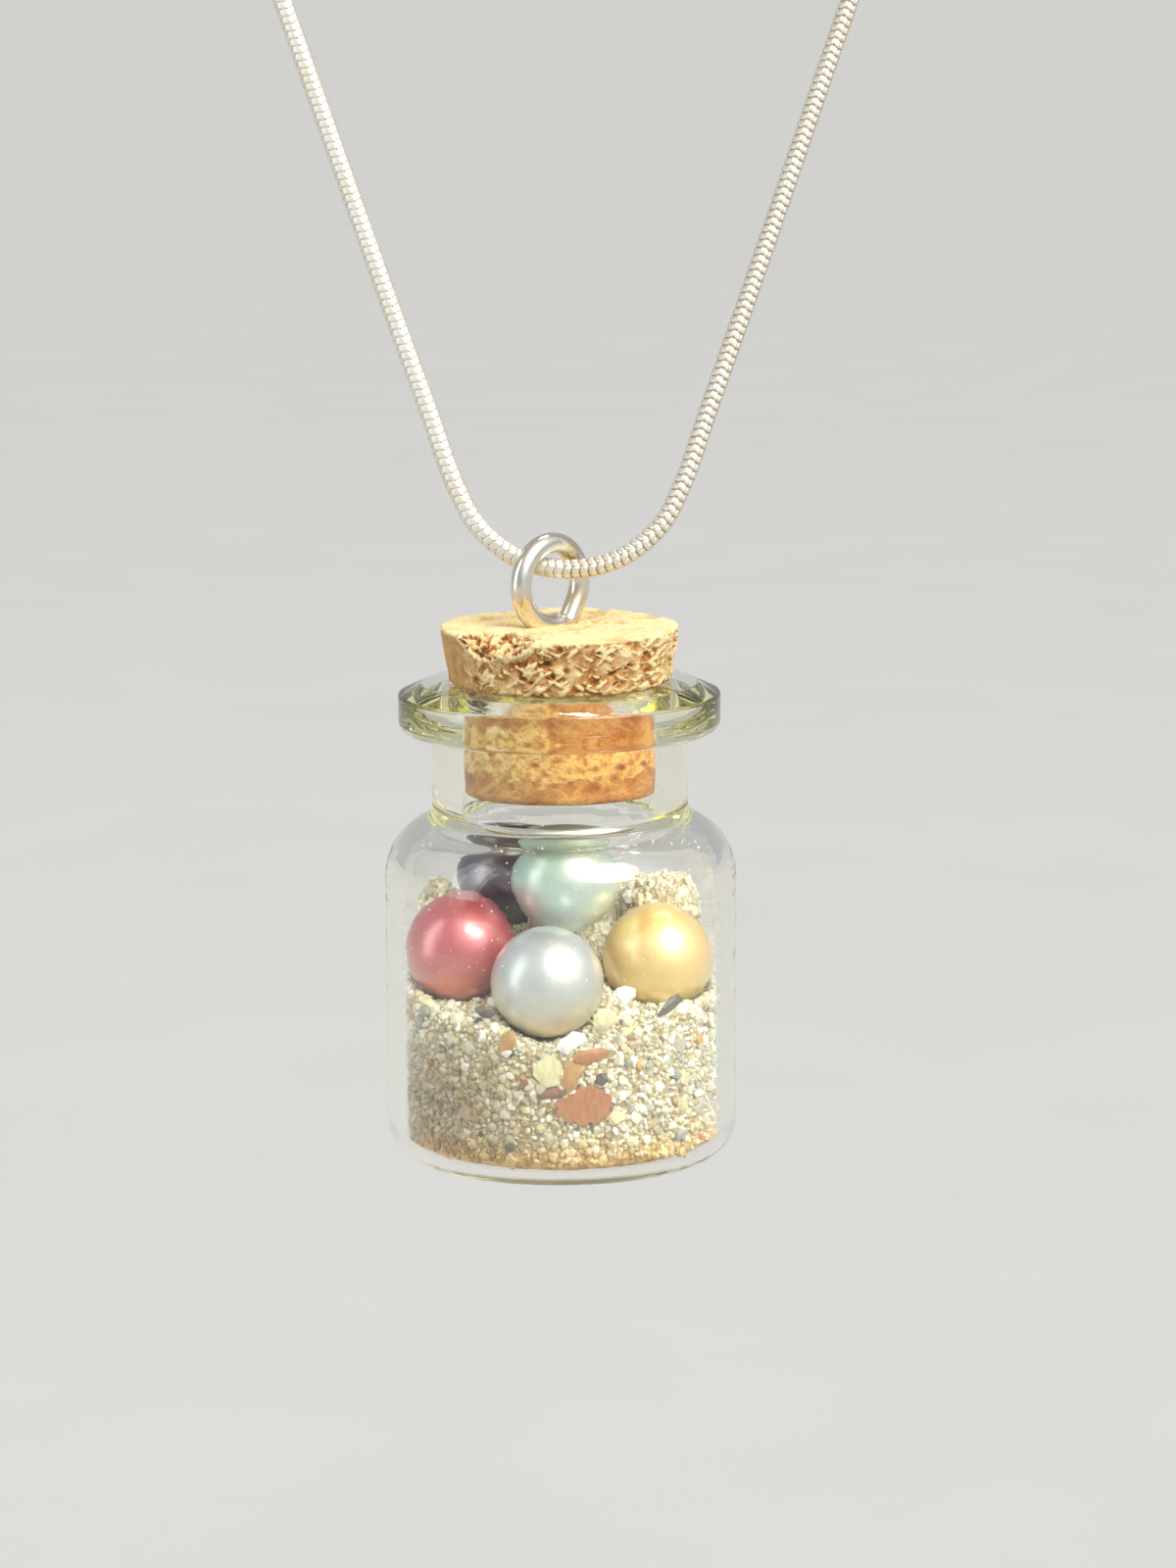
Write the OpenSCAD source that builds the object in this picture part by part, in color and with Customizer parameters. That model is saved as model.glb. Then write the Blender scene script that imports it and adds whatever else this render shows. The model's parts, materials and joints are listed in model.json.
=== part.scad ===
// Charm necklace: a snake chain with a corked glass bottle of sand and pearls.
// The origin is at the nape, on the clasp's middle, and the bottle hangs at the front, towards -Y.

/* [Chain] */
// Thickness of the round snake chain
chain_d = 1.2; // [1.0:0.05:1.25]
// Sides of the plain tube that stands for the chain
chain_sides = 8; // [8:1:12]
// Longest step between two rings of the tube
chain_step = 9.5; // [6:0.5:12]

/* [Clasp] */
// Length of the barrel clasp
clasp_l = 12; // [11:0.5:14]
// Thickness of the barrel clasp
clasp_d = 3.6; // [3.2:0.1:4.5]

/* [Screw eye] */
// Thickness of the wire
wire_d = 1.3; // [1.1:0.05:1.35]
// Radius of the ring, to the middle of the wire
ring_r = 2.55; // [2.5:0.05:2.8]
// How far the ring is turned out of the chain's line
eye_turn = 45; // [40:1:50]
// Shaft of the eye inside the cork, below the bend
shaft_l = 8; // [6:0.5:8.5]

/* [Bottle] */
// Outer diameter of the body
body_d = 22; // [20:0.5:24]
// Height from the base to the rim's top
bottle_h = 30; // [29:0.5:32]
// Thickness of the wall of the body
wall = 1.1; // [0.9:0.1:1.3]
// Outer diameter of the neck
neck_d = 16; // [15.5:0.1:16.5]
// Diameter of the bore in the neck
bore_d = 12.2; // [12:0.1:12.4]
// Outer diameter of the rim
rim_d = 20.1; // [19:0.1:21]
// Height of the rim
rim_h = 3; // [2.5:0.1:3.5]

/* [Cork] */
// Diameter of the cork's top
cork_top_d = 14.9; // [14.6:0.1:15.2]
// Height of the cork above the rim
cork_stand = 3.5; // [3.2:0.1:4]
// Depth of the cork below the rim's top
cork_depth = 6.8; // [6:0.1:7.5]

/* [Filling] */
// Diameter of each pearl
pearl_d = 6.9; // [6.5:0.1:6.9]
// Mean depth of the sand above the inner floor
sand_depth = 11.9; // [11.3:0.1:12.3]
// Rise of the sand towards the back, per millimetre
sand_rise = 0.33; // [0.2:0.01:0.35]

/* [Hidden] */

// Small gap between pieces that touch
gap = 0.08;
// Facets of a full turn of a true curve, and of the thin wire
round_fn = 96;
wire_fn = 40;
// Step between the diameters of wire pieces that are joined, so that no two of them only touch
wire_step = 0.02;

// Right half of the chain's course, from the lowest point at the eye to the end in the clasp.
// The left half is its mirror image.
chain_half = [
    [0, -122, -160], [1.8, -121.9, -159.8], [3.45, -121.7, -159.2], [4.9, -121.3, -158.2],
    [6.05, -120.8, -156.95], [6.85, -120.2, -155.45], [8.75, -118.2, -150.5],
    [18, -108.2, -125.5], [27.25, -98.2, -100.5], [36.5, -88.2, -75.5],
    [40.7, -83, -64.7], [44.7, -77, -54.9], [48.4, -70.3, -46.1], [51.6, -63, -38.3],
    [54, -54.9, -31.4], [55, -46.2, -25.3], [54.2, -37.3, -20], [51, -28.6, -15.2],
    [45.6, -20.4, -10.8], [38.2, -13.2, -7], [28.8, -7.1, -3.7], [17.8, -2.6, -1.35],
    [9, -0.5, -0.25], [3.5, 0, 0]
];

// Place of the bottle's base, set so that the pendant's centre of mass is straight below its hinge
hang_x = -0.7;
hang_y = -122.3;
hang_z = -197;

// Heights below are above the bottle's base
rim_top = bottle_h;
cork_top = bottle_h + cork_stand;
cork_low = bottle_h - cork_depth;

// Middle of the eye's ring beside the bottle's axis, and the shaft's place along the ring's own plane
ring_x = -0.5;
ring_y = 0.2;
ring_z = cork_top + 2.6;
shaft_side = 1.55;
// Angles round the ring, from its right side: where the straight leg leaves and where the wire ends
leg_turn = -32;
end_turn = 285;
// Height of the bend between leg and shaft, from the ring's middle
bend_z = -2.4;
// Length and end radius of the shaft's point
shaft_tip = 2;
tip_r = 0.15;

// Corner and thickness of the base, and how far its underside is pushed up, as a large ball would
base_r = 2.3;
base_thick = 0.9;
push_up = 0.3;
push_up_r = 100;
// Top of the straight side, arc and slope of the shoulder, and the fillet below the neck
side_top = 17.8;
shoulder_r = 4.1;
shoulder_slope = 27;
neck_fillet = 1;
// Bevel on the rim's top, its rounded lower edge and the rounded lip of the mouth
bevel_w = 1.45;
bevel_h = 0.65;
rim_round = 0.7;
lip_r = 0.5;

// How much the cork's side leans out above the rim, its broken edges, and the chip out of its front
cork_lean = 0.55;
cork_edge = 0.3;
chip_r = 4;
chip_at = [-4.2, -6.2, cork_top + 3.1];

// Middle of each pearl, above the bottle's base
white_at = [-0.8, -6.2, 12.3];
red_at = [-6.2, -1.5, 13.5];
gold_at = [6, -1.2, 12.7];
aqua_at = [0.3, -0.6, 17.7];
dark_at = [-3.4, 5.3, 16.8];
pearls = [white_at, red_at, gold_at, aqua_at, dark_at];

// Ripples on the sand
ripple_h = 0.5;
ripple_turn = [28, 22];
ripple_start = 40;
// Mounds and dips in the sand: the place of each, its height and its width. The fourth carries the
// upper pearl, and the last two rise against the back of the glass.
sand_mounds = [
    [[-0.8, -8.5], -0.9, 3],
    [[-6.5, -5], -0.6, 3.5],
    [[6.5, -4], -0.8, 4],
    [[0, 1.5], 1.8, 3.5],
    [[6, 7], 1.7, 4],
    [[-7.5, 5], 1.8, 3]
];
// Steepest slope of the sand beside a pearl
hollow_lean = 50;

// Grid of the sand's surface: circles from the middle out, and points on each
sand_rings = 13;
sand_points = 48;

// Direction that the tube's first corner points near to, and that the chain never runs along
tube_up = [0, -1, 2];

// Chain

function mirrored(p) = [-p[0], p[1], p[2]];
function unit(v) = v / norm(v);

chain_points = concat([for (i = [len(chain_half) - 1 : -1 : 1]) mirrored(chain_half[i])], chain_half);
chain_last = len(chain_points) - 1;
chain_spans = [for (i = [0 : chain_last - 1]) norm(chain_points[i + 1] - chain_points[i])];

// Direction of the course at each point: the mean of the two spans, the shorter one weighing more
function step_dir(i) = (chain_points[i + 1] - chain_points[i]) / chain_spans[i];
function inner_dir(i) = unit(step_dir(i - 1) * chain_spans[i] + step_dir(i) * chain_spans[i - 1]);
chain_dirs = [for (i = [0 : chain_last])
    i == 0 ? unit(2 * step_dir(0) - inner_dir(1))
    : i == chain_last ? unit(2 * step_dir(i - 1) - inner_dir(i - 1))
    : inner_dir(i)];

// Smooth curve between two points with a direction at each
function on_span(i, t) =
    (2 * pow(t, 3) - 3 * pow(t, 2) + 1) * chain_points[i]
    + (pow(t, 3) - 2 * pow(t, 2) + t) * chain_spans[i] * chain_dirs[i]
    + (3 * pow(t, 2) - 2 * pow(t, 3)) * chain_points[i + 1]
    + (pow(t, 3) - pow(t, 2)) * chain_spans[i] * chain_dirs[i + 1];

chain_path = concat(
    [for (i = [0 : chain_last - 1])
        let (steps = ceil(chain_spans[i] / chain_step))
        for (j = [0 : steps - 1]) on_span(i, j / steps)],
    [chain_points[chain_last]]);

function path_dir(path, i) = unit(path[min(i + 1, len(path) - 1)] - path[max(i - 1, 0)]);

// One ring of the tube round a point of the path
function tube_ring(path, i, r, sides) =
    let (along = path_dir(path, i), side = unit(cross(along, tube_up)), up = cross(side, along))
    [for (k = [0 : sides - 1])
        path[i] + r * (cos(360 * k / sides) * side + sin(360 * k / sides) * up)];

module tube(path, r, sides) {
    rings = [for (i = [0 : len(path) - 1]) each tube_ring(path, i, r, sides)];
    walls = [for (i = [0 : len(path) - 2], k = [0 : sides - 1])
        let (a = i * sides + k, b = i * sides + (k + 1) % sides)
        each [[a, a + sides, b], [b, a + sides, b + sides]]];
    first = [[for (k = [0 : sides - 1]) k]];
    last = [[for (k = [sides - 1 : -1 : 0]) (len(path) - 1) * sides + k]];
    polyhedron(points = rings, faces = concat(walls, first, last), convexity = 10);
}

module snake_chain() {
    color("silver") tube(chain_path, chain_d / 2, chain_sides);
}

// Barrel with rounded ends, a groove at its middle and a blind hole in each end for the chain
module clasp() {
    end_r = 1;
    groove = 0.25;
    hole_d = chain_d + 0.6;
    hole_l = 3;
    color("silver")
    rotate([0, 90, 0])
    difference() {
        rotate_extrude($fn = round_fn)
        difference() {
            union() {
                translate([0, -clasp_l / 2 + end_r]) square([clasp_d / 2, clasp_l - 2 * end_r]);
                translate([0, -clasp_l / 2]) square([clasp_d / 2 - end_r, clasp_l]);
                for (s = [-1, 1])
                    translate([clasp_d / 2 - end_r, s * (clasp_l / 2 - end_r)])
                    circle(r = end_r, $fn = round_fn);
            }
            translate([-clasp_d, -clasp_l]) square([clasp_d, 2 * clasp_l]);
            translate([clasp_d / 2, 0]) circle(r = groove, $fn = 24);
        }
        for (s = [-1, 1])
            translate([0, 0, s * clasp_l / 2])
            cylinder(h = 2 * hole_l, d = hole_d, center = true, $fn = round_fn);
    }
}

// Screw eye

module place_eye() {
    translate([ring_x, ring_y, ring_z]) rotate([0, 0, eye_turn]) children();
}

// Part of a ring that stands upright, of round wire
module wire_ring(turn_from, turn_to, d) {
    rotate([90, 0, 0]) rotate([0, 0, turn_from])
    rotate_extrude(angle = turn_to - turn_from, $fn = wire_fn)
    translate([ring_r, 0]) circle(d = d, $fn = wire_fn);
}

// Straight leg from just inside the ring's end to the bend
module leg(d) {
    from = [ring_r * cos(leg_turn), 0, ring_r * sin(leg_turn)];
    to = [shaft_side, 0, bend_z];
    lean = atan2(from[0] - to[0], from[2] - to[2]);
    leg_l = norm(from - to) + 10 * wire_step;
    translate(to) rotate([0, lean, 0]) cylinder(h = leg_l, d = d - wire_step, $fn = wire_fn);
}

// Rounded bend, and the upright shaft with its point, of a length to the shoulder of the point
module shaft(d, l) {
    r = d / 2;
    translate([shaft_side, 0, bend_z]) {
        sphere(d = d + wire_step, $fn = wire_fn);
        rotate_extrude($fn = wire_fn)
        polygon([[0, -l - shaft_tip], [tip_r, -l - shaft_tip], [r, -l], [r, 0], [0, 0]]);
    }
}

module screw_eye() {
    color("silver")
    place_eye() {
        wire_ring(leg_turn, end_turn, wire_d);
        leg(wire_d);
        shaft(wire_d, shaft_l);
    }
}

// Bottle

// Start of the shoulder's straight slope
slope_r = body_d / 2 - shoulder_r * (1 - sin(shoulder_slope));
slope_z = side_top + shoulder_r * cos(shoulder_slope);

// Height of a line that lies inside the shoulder's slope by a thickness, at a radius
function slope_at(r, inside) = slope_z + (slope_r - r) * tan(shoulder_slope) - inside / cos(shoulder_slope);

// Half outline from the base to the neck, inside the outer face by a thickness
module body_outline(inside, floor_z, neck_r) {
    r = body_d / 2 - inside;
    corner = base_r - inside;
    translate([0, floor_z]) square([r - corner, side_top - floor_z]);
    translate([0, floor_z + corner]) square([r, side_top - floor_z - corner]);
    translate([r - corner, floor_z + corner]) circle(r = corner, $fn = round_fn);
    arc_x = body_d / 2 - shoulder_r;
    arc_r = shoulder_r - inside;
    translate([arc_x, side_top]) circle(r = arc_r, $fn = round_fn);
    polygon([[0, side_top], [arc_x, side_top],
             [arc_x + arc_r * sin(shoulder_slope), side_top + arc_r * cos(shoulder_slope)],
             [neck_r, slope_at(neck_r, inside)], [0, slope_at(neck_r, inside)]]);
}

// Concave fillet between the shoulder's slope and the neck
module neck_corner() {
    centre_r = neck_d / 2 + neck_fillet;
    centre_z = slope_at(centre_r, 0) + neck_fillet / cos(shoulder_slope);
    foot_r = centre_r - neck_fillet * sin(shoulder_slope);
    difference() {
        polygon([[neck_d / 2 - 1, slope_at(foot_r, 0) - 1], [foot_r, slope_at(foot_r, 0) - 1],
                 [foot_r, slope_at(foot_r, 0)], [centre_r, centre_z], [neck_d / 2, centre_z],
                 [neck_d / 2 - 1, centre_z]]);
        translate([centre_r, centre_z]) circle(r = neck_fillet, $fn = round_fn);
    }
}

module rim_outline() {
    r = rim_d / 2;
    low = rim_top - rim_h;
    polygon([[0, low], [r - rim_round, low], [r, low + rim_round], [r, rim_top - bevel_h],
             [r - bevel_w, rim_top], [0, rim_top]]);
    translate([r - rim_round, low + rim_round]) circle(r = rim_round, $fn = round_fn);
}

// Inside of the bottle: body, bore and the rounded lip of the mouth
module hollow_outline() {
    bore_r = bore_d / 2;
    body_outline(wall, base_thick, bore_r);
    square([bore_r, rim_top - lip_r]);
    difference() {
        translate([0, rim_top - lip_r]) square([bore_r + lip_r, lip_r + 1]);
        translate([bore_r + lip_r, rim_top - lip_r]) circle(r = lip_r, $fn = round_fn);
    }
}

module right_half() {
    intersection() {
        children();
        translate([0, -1]) square([body_d, bottle_h + 3]);
    }
}

module bottle() {
    color("honeydew", 0.4)
    difference() {
        rotate_extrude($fn = round_fn)
        right_half()
        difference() {
            union() {
                body_outline(0, 0, neck_d / 2);
                neck_corner();
                square([neck_d / 2, rim_top - 1]);
                rim_outline();
            }
            difference() {
                hollow_outline();
                translate([0, -1]) square([body_d, base_thick + 1]);
            }
        }
        translate([0, 0, push_up - push_up_r]) sphere(r = push_up_r, $fn = round_fn);
    }
}

// Cork

module cork_outline() {
    neck_r = bore_d / 2 - 2 * gap;
    top_r = cork_top_d / 2;
    low_edge = 2 * cork_edge;
    polygon([[0, cork_low], [neck_r - low_edge, cork_low], [neck_r, cork_low + low_edge],
             [neck_r, rim_top - lip_r], [bore_d / 2 + lip_r, rim_top + gap],
             [top_r - cork_lean, rim_top + gap], [top_r, cork_top - cork_edge],
             [top_r - cork_edge, cork_top], [0, cork_top]]);
}

module cork() {
    color("burlywood")
    difference() {
        rotate_extrude($fn = round_fn)
        difference() {
            cork_outline();
            translate([bore_d / 2 + lip_r, rim_top - lip_r]) circle(r = lip_r + gap, $fn = round_fn);
        }
        translate(chip_at) sphere(r = chip_r, $fn = round_fn);
        place_eye() {
            wire_ring(180, 360, wire_d + 2 * gap);
            leg(wire_d + 2 * gap);
            shaft(wire_d + 2 * gap, shaft_l + gap);
        }
    }
}

// Filling

function mound_h(x, y, mound) = mound[1] * exp(-pow(norm([x, y] - mound[0]) / mound[2], 2));
function sum(values, i = 0) = i == len(values) ? 0 : values[i] + sum(values, i + 1);

// Height of the heap before the pearls press into it
function heap(x, y) = base_thick + sand_depth + sand_rise * y
    + ripple_h * sin(ripple_turn[0] * x + ripple_start) * cos(ripple_turn[1] * y)
    + sum([for (mound = sand_mounds) mound_h(x, y, mound)]);

// Height of the hollow that a pearl presses: round below it, then a straight slope outwards
function hollow_under(x, y, at) =
    let (r = pearl_d / 2 + 2 * gap, off = norm([x - at[0], y - at[1]]), reach = r * sin(hollow_lean))
    off < reach ? at[2] - sqrt(r * r - off * off)
    : at[2] - r * cos(hollow_lean) + (off - reach) * tan(hollow_lean);

function sand_top(x, y) = min(heap(x, y), min([for (at = pearls) hollow_under(x, y, at)]));

sand_r = body_d / 2 - wall - gap;
sand_low = base_thick + gap;
sand_corner = base_r - wall;

// Radius and height of the side, from the flat underside round the corner
sand_side = [for (a = [0 : 30 : 90])
    [sand_r - sand_corner * (1 - sin(a)), sand_low + sand_corner * (1 - cos(a))]];

function sand_circle(r) = [for (k = [0 : sand_points - 1])
    [r * cos(360 * k / sand_points), r * sin(360 * k / sand_points)]];

module sand() {
    top = [for (i = [sand_rings : -1 : 1]) each
        [for (p = sand_circle(sand_r * i / sand_rings)) [p[0], p[1], sand_top(p[0], p[1])]]];
    side = [for (s = sand_side) each [for (p = sand_circle(s[0])) [p[0], p[1], s[1]]]];
    points = concat(side, top, [[0, 0, sand_top(0, 0)]]);
    rows = len(sand_side) + sand_rings;
    walls = [for (i = [0 : rows - 2], k = [0 : sand_points - 1])
        let (a = i * sand_points + k, b = i * sand_points + (k + 1) % sand_points)
        each [[a, a + sand_points, b], [b, a + sand_points, b + sand_points]]];
    tip = rows * sand_points;
    cap = [for (k = [0 : sand_points - 1])
        [tip - sand_points + k, tip, tip - sand_points + (k + 1) % sand_points]];
    floor = [[for (k = [0 : sand_points - 1]) k]];
    color("wheat") polyhedron(points = points, faces = concat(walls, cap, floor), convexity = 6);
}

module pearl(at) {
    translate(at) sphere(d = pearl_d, $fn = round_fn);
}

module pearl_white() {
    color("ghostwhite") pearl(white_at);
}

module pearl_red() {
    color("firebrick") pearl(red_at);
}

module pearl_gold() {
    color("goldenrod") pearl(gold_at);
}

module pearl_aqua() {
    color("mediumaquamarine") pearl(aqua_at);
}

module pearl_dark() {
    color("darkslateblue") pearl(dark_at);
}

// Everything that hangs on the eye
module hang() {
    translate([hang_x, hang_y, hang_z]) children();
}

snake_chain();
clasp();
hang() screw_eye();
hang() cork();
hang() bottle();
hang() sand();
hang() pearl_white();
hang() pearl_red();
hang() pearl_gold();
hang() pearl_aqua();
hang() pearl_dark();
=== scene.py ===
"""Looks of the charm necklace: snake chain, barrel clasp, screw eye, cork, glass bottle, sand and pearls.

Each piece is modelled in millimetres round its own origin, then scaled to metres and set in the frame.
"""

import json
import math

import bmesh
import bpy
from bpy.props import FloatProperty, FloatVectorProperty, IntProperty, PointerProperty
from bpy.types import Operator, Panel, PropertyGroup
from mathutils import Euler, Matrix, Vector

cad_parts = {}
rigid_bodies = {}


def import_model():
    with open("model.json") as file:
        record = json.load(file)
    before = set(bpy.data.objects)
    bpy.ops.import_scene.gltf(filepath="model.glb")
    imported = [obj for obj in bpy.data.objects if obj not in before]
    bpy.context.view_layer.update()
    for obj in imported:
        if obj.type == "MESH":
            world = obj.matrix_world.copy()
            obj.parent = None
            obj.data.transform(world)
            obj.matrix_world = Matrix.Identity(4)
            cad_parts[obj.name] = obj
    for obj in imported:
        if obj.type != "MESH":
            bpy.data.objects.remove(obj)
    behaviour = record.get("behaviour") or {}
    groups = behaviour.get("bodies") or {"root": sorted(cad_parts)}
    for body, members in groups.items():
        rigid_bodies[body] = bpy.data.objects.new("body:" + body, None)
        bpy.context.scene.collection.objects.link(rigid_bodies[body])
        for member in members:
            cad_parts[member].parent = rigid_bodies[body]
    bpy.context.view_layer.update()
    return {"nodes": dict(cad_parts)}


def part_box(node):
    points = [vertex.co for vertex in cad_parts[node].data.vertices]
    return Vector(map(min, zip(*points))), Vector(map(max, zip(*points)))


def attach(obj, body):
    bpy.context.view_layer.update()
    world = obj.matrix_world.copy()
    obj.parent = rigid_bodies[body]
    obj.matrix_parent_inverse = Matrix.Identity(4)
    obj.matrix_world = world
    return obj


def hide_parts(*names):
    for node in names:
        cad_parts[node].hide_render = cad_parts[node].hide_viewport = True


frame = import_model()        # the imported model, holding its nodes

bl_info = {
    "name": "Charm necklace",
    "version": (1, 0, 0),
    "blender": (4, 5, 0),
    "location": "3D View > Sidebar > Necklace",
    "description": "Models a snake chain with a corked glass bottle of sand and pearls",
    "category": "Object",
}

MM = 0.001


def mm(length):
    """A length of the frame or the settings in millimetres, the unit in which pieces are modelled."""
    return length / MM


# Bottle and cork, from the frame: the middle of the bottle's base, and heights above it
BOTTLE_LOW, BOTTLE_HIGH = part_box("bottle")
BASE = Vector(((BOTTLE_LOW.x + BOTTLE_HIGH.x) / 2, (BOTTLE_LOW.y + BOTTLE_HIGH.y) / 2, BOTTLE_LOW.z))
BODY_R = mm(BOTTLE_HIGH.x - BOTTLE_LOW.x) / 2
BOTTLE_H = mm(BOTTLE_HIGH.z - BOTTLE_LOW.z)
CORK_LOW, CORK_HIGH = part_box("cork")
CORK_TOP = mm(CORK_HIGH.z - BASE.z)
CORK_FOOT = mm(CORK_LOW.z - BASE.z)
CORK_R = mm(CORK_HIGH.x - CORK_LOW.x) / 2

# The rest of the bottle's form: its bore and the rounding of its lip, the top of its straight side, and the
# radius and slope of its shoulder
BORE_R, LIP_R = 6.1, 0.5
SIDE_TOP, SHOULDER_R = 17.8, 4.1
SLOPE = math.radians(27)

# Height of the sand's underside, and how far up its side the bare foot reaches
SAND_FOOT = mm(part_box("sand")[0].z - BASE.z)
FOOT_R = 0.9


# Settings

def colour_setting(name, description, default):
    """A colour that a user may change."""
    return FloatVectorProperty(name=name, description=description, subtype="COLOR", size=3, default=default)


def length_setting(name, description, default):
    """A length in metres that a user may change."""
    return FloatProperty(name=name, description=description, default=default, unit="LENGTH", precision=5)


class ChainSettings(PropertyGroup):
    pitch: length_setting("Pitch", "Distance between two rows of links", 0.00052)
    columns: IntProperty(name="Columns", description="Links round the chain", default=8, min=6, max=10)
    width: length_setting("Thickness", "Outer diameter of the chain", 0.0012)
    metal: colour_setting("Metal", "Colour of the plated links", (0.80, 0.78, 0.70))
    # Colour of each link's flanks round its crown: painted shade with a warm painted reflection
    flank_shade: colour_setting("Gilt", "Colour of the links' worn edges", (0.56, 0.46, 0.29))
    tarnish: colour_setting("Tarnish", "Colour between the links", (0.50, 0.43, 0.32))


class EyeSettings(PropertyGroup):
    metal: colour_setting("Metal", "Colour of the wire", (0.80, 0.775, 0.72))


class CorkSettings(PropertyGroup):
    crumb: length_setting("Crumb", "Height of the crumbs on the broken side", 0.00042)
    pale: colour_setting("Fibres", "Colour of the pale fibres", (0.84, 0.65, 0.32))
    body: colour_setting("Cork", "Colour of sound cork", (0.43, 0.175, 0.045))
    deep: colour_setting("Hollows", "Colour of the pits", (0.12, 0.05, 0.015))
    right_tint: colour_setting("Right tint", "Tint of the cork in the neck, on its right", (1.0, 0.70, 0.36))
    left_tint: colour_setting("Left tint", "Tint of the cork in the neck, on its left", (0.86, 0.76, 0.58))


class BottleSettings(PropertyGroup):
    wall: length_setting("Wall", "Thickness of the body's wall", 0.0011)
    tint: colour_setting("Tint", "Colour of thick glass", (0.985, 0.965, 0.50))


class SandSettings(PropertyGroup):
    grain: length_setting("Grain", "Width of a usual grain", 0.00046)
    seed: IntProperty(name="Seed", description="Places and turns of the grains", default=7)


class PearlSettings(PropertyGroup):
    white: colour_setting("White", "Body colour of the white pearl", (0.46, 0.505, 0.545))
    red: colour_setting("Red", "Body colour of the red pearl", (0.47, 0.025, 0.045))
    gold: colour_setting("Gold", "Body colour of the gold pearl", (0.88, 0.59, 0.19))
    aqua: colour_setting("Aqua", "Body colour of the aqua pearl", (0.36, 0.57, 0.49))
    dark: colour_setting("Dark", "Body colour of the dark pearl", (0.045, 0.02, 0.05))


class StageSettings(PropertyGroup):
    drop: length_setting("Drop", "Height of the bottle above the floor", 0.16)
    key: FloatProperty(name="Key", description="Strength of the main lamp, in watts a square metre",
                       default=2.35)
    softness: FloatProperty(name="Softness", description="Width of the main lamp as an angle", default=0.62,
                            subtype="ANGLE")
    side: FloatProperty(name="Side", description="Power of the side lamp", default=5.0, unit="POWER")
    back: FloatProperty(name="Back", description="Power of the lamp above and behind", default=2.0,
                        unit="POWER")


# Work shared by the pieces

def only(*objects):
    """Selects these objects alone, in object mode, the first of them active."""
    if bpy.context.mode != "OBJECT":
        close()
    bpy.ops.object.select_all(action="DESELECT")
    for one in objects:
        one.select_set(True)
    bpy.context.view_layer.objects.active = objects[0]


def made():
    """The object that an operator has just added."""
    return bpy.context.view_layer.objects.active


def edit(obj, action="DESELECT", kind="VERT"):
    """Opens an object in edit mode with nothing selected, or with all of it."""
    only(obj)
    bpy.ops.object.mode_set(mode="EDIT")
    bpy.ops.mesh.select_mode(type=kind)
    bpy.ops.mesh.select_all(action=action)


def close():
    """Leaves edit mode."""
    bpy.ops.object.mode_set(mode="OBJECT")


def pick_points(obj, wanted):
    """Selects only the points for which wanted(place) holds, in edit mode."""
    bpy.ops.mesh.select_all(action="DESELECT")
    shape = bmesh.from_edit_mesh(obj.data)
    for point in shape.verts:
        point.select_set(wanted(point.co))
    shape.select_flush(True)


def pick_faces(obj, wanted):
    """Selects only the faces for which wanted(centre, normal) holds, in edit mode."""
    bpy.ops.mesh.select_mode(type="FACE")
    bpy.ops.mesh.select_all(action="DESELECT")
    close()
    for face in obj.data.polygons:
        face.select = wanted(face.center, face.normal)
    bpy.ops.object.mode_set(mode="EDIT")


def apply_modifiers(obj):
    """Applies all modifiers of a piece in their order."""
    only(obj)
    for modifier in list(obj.modifiers):
        bpy.ops.object.modifier_apply(modifier=modifier.name)


def apply_place():
    """Takes the place, turn and size of what is selected into its mesh."""
    bpy.ops.object.transform_apply(location=True, rotation=True, scale=True)


def copy_of(obj):
    """A copy with a mesh of its own."""
    only(obj)
    bpy.ops.object.duplicate()
    return made()


def joined(objects):
    """Several objects made one."""
    only(*objects)
    bpy.ops.object.join()
    return made()


def voxel_grid(obj, size):
    """Adds a modifier that gives a piece an even grid of faces."""
    grid = obj.modifiers.new("Grid", "REMESH")
    grid.mode = "VOXEL"
    grid.voxel_size = size


def reshape(obj, name, shape, *details):
    """Adds shape nodes to a piece: what shape(graph, geometry, *details) makes of its mesh."""
    tree = bpy.data.node_groups.new(name, "GeometryNodeTree")
    for way in ("INPUT", "OUTPUT"):
        tree.interface.new_socket("Geometry", in_out=way, socket_type="NodeSocketGeometry")
    g = Graph(tree)
    g.add("NodeGroupOutput", {0: shape(g, g.add("NodeGroupInput").outputs[0], *details)})
    obj.modifiers.new(name, "NODES").node_group = tree


def hand_in(obj, name, material, node, slot, body="pendant", origin=BASE):
    """Sets a finished piece in the frame: carries it from millimetres round its origin to its place, in
    metres, names it, gives it its material and sets it in place of its CAD node."""
    bpy.context.view_layer.update()
    obj.matrix_world = Matrix.Translation(origin) @ Matrix.Scale(MM, 4) @ obj.matrix_world
    only(obj)
    apply_place()
    obj.name = name
    obj.data.name = name
    obj.data.materials.clear()
    obj.data.materials.append(material)
    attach(obj, body)
    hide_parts(node)


def rounded(corners, steps=6):
    """Points of an outline whose corners (x, z, radius) are turned into arcs."""
    points = []
    for i, (x, z, radius) in enumerate(corners):
        corner = Vector((x, z))
        if radius == 0 or i in (0, len(corners) - 1):
            points.append(corner)
            continue
        back = (Vector(corners[i - 1][:2]) - corner).normalized()
        on = (Vector(corners[i + 1][:2]) - corner).normalized()
        half = back.angle(on) / 2
        middle = corner + (back + on).normalized() * radius / math.sin(half)
        first = corner + back * radius / math.tan(half) - middle
        sweep = first.angle_signed(corner + on * radius / math.tan(half) - middle)
        for k in range(steps + 1):
            points.append(middle + Matrix.Rotation(-sweep * k / steps, 2) @ first)
    return points


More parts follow.
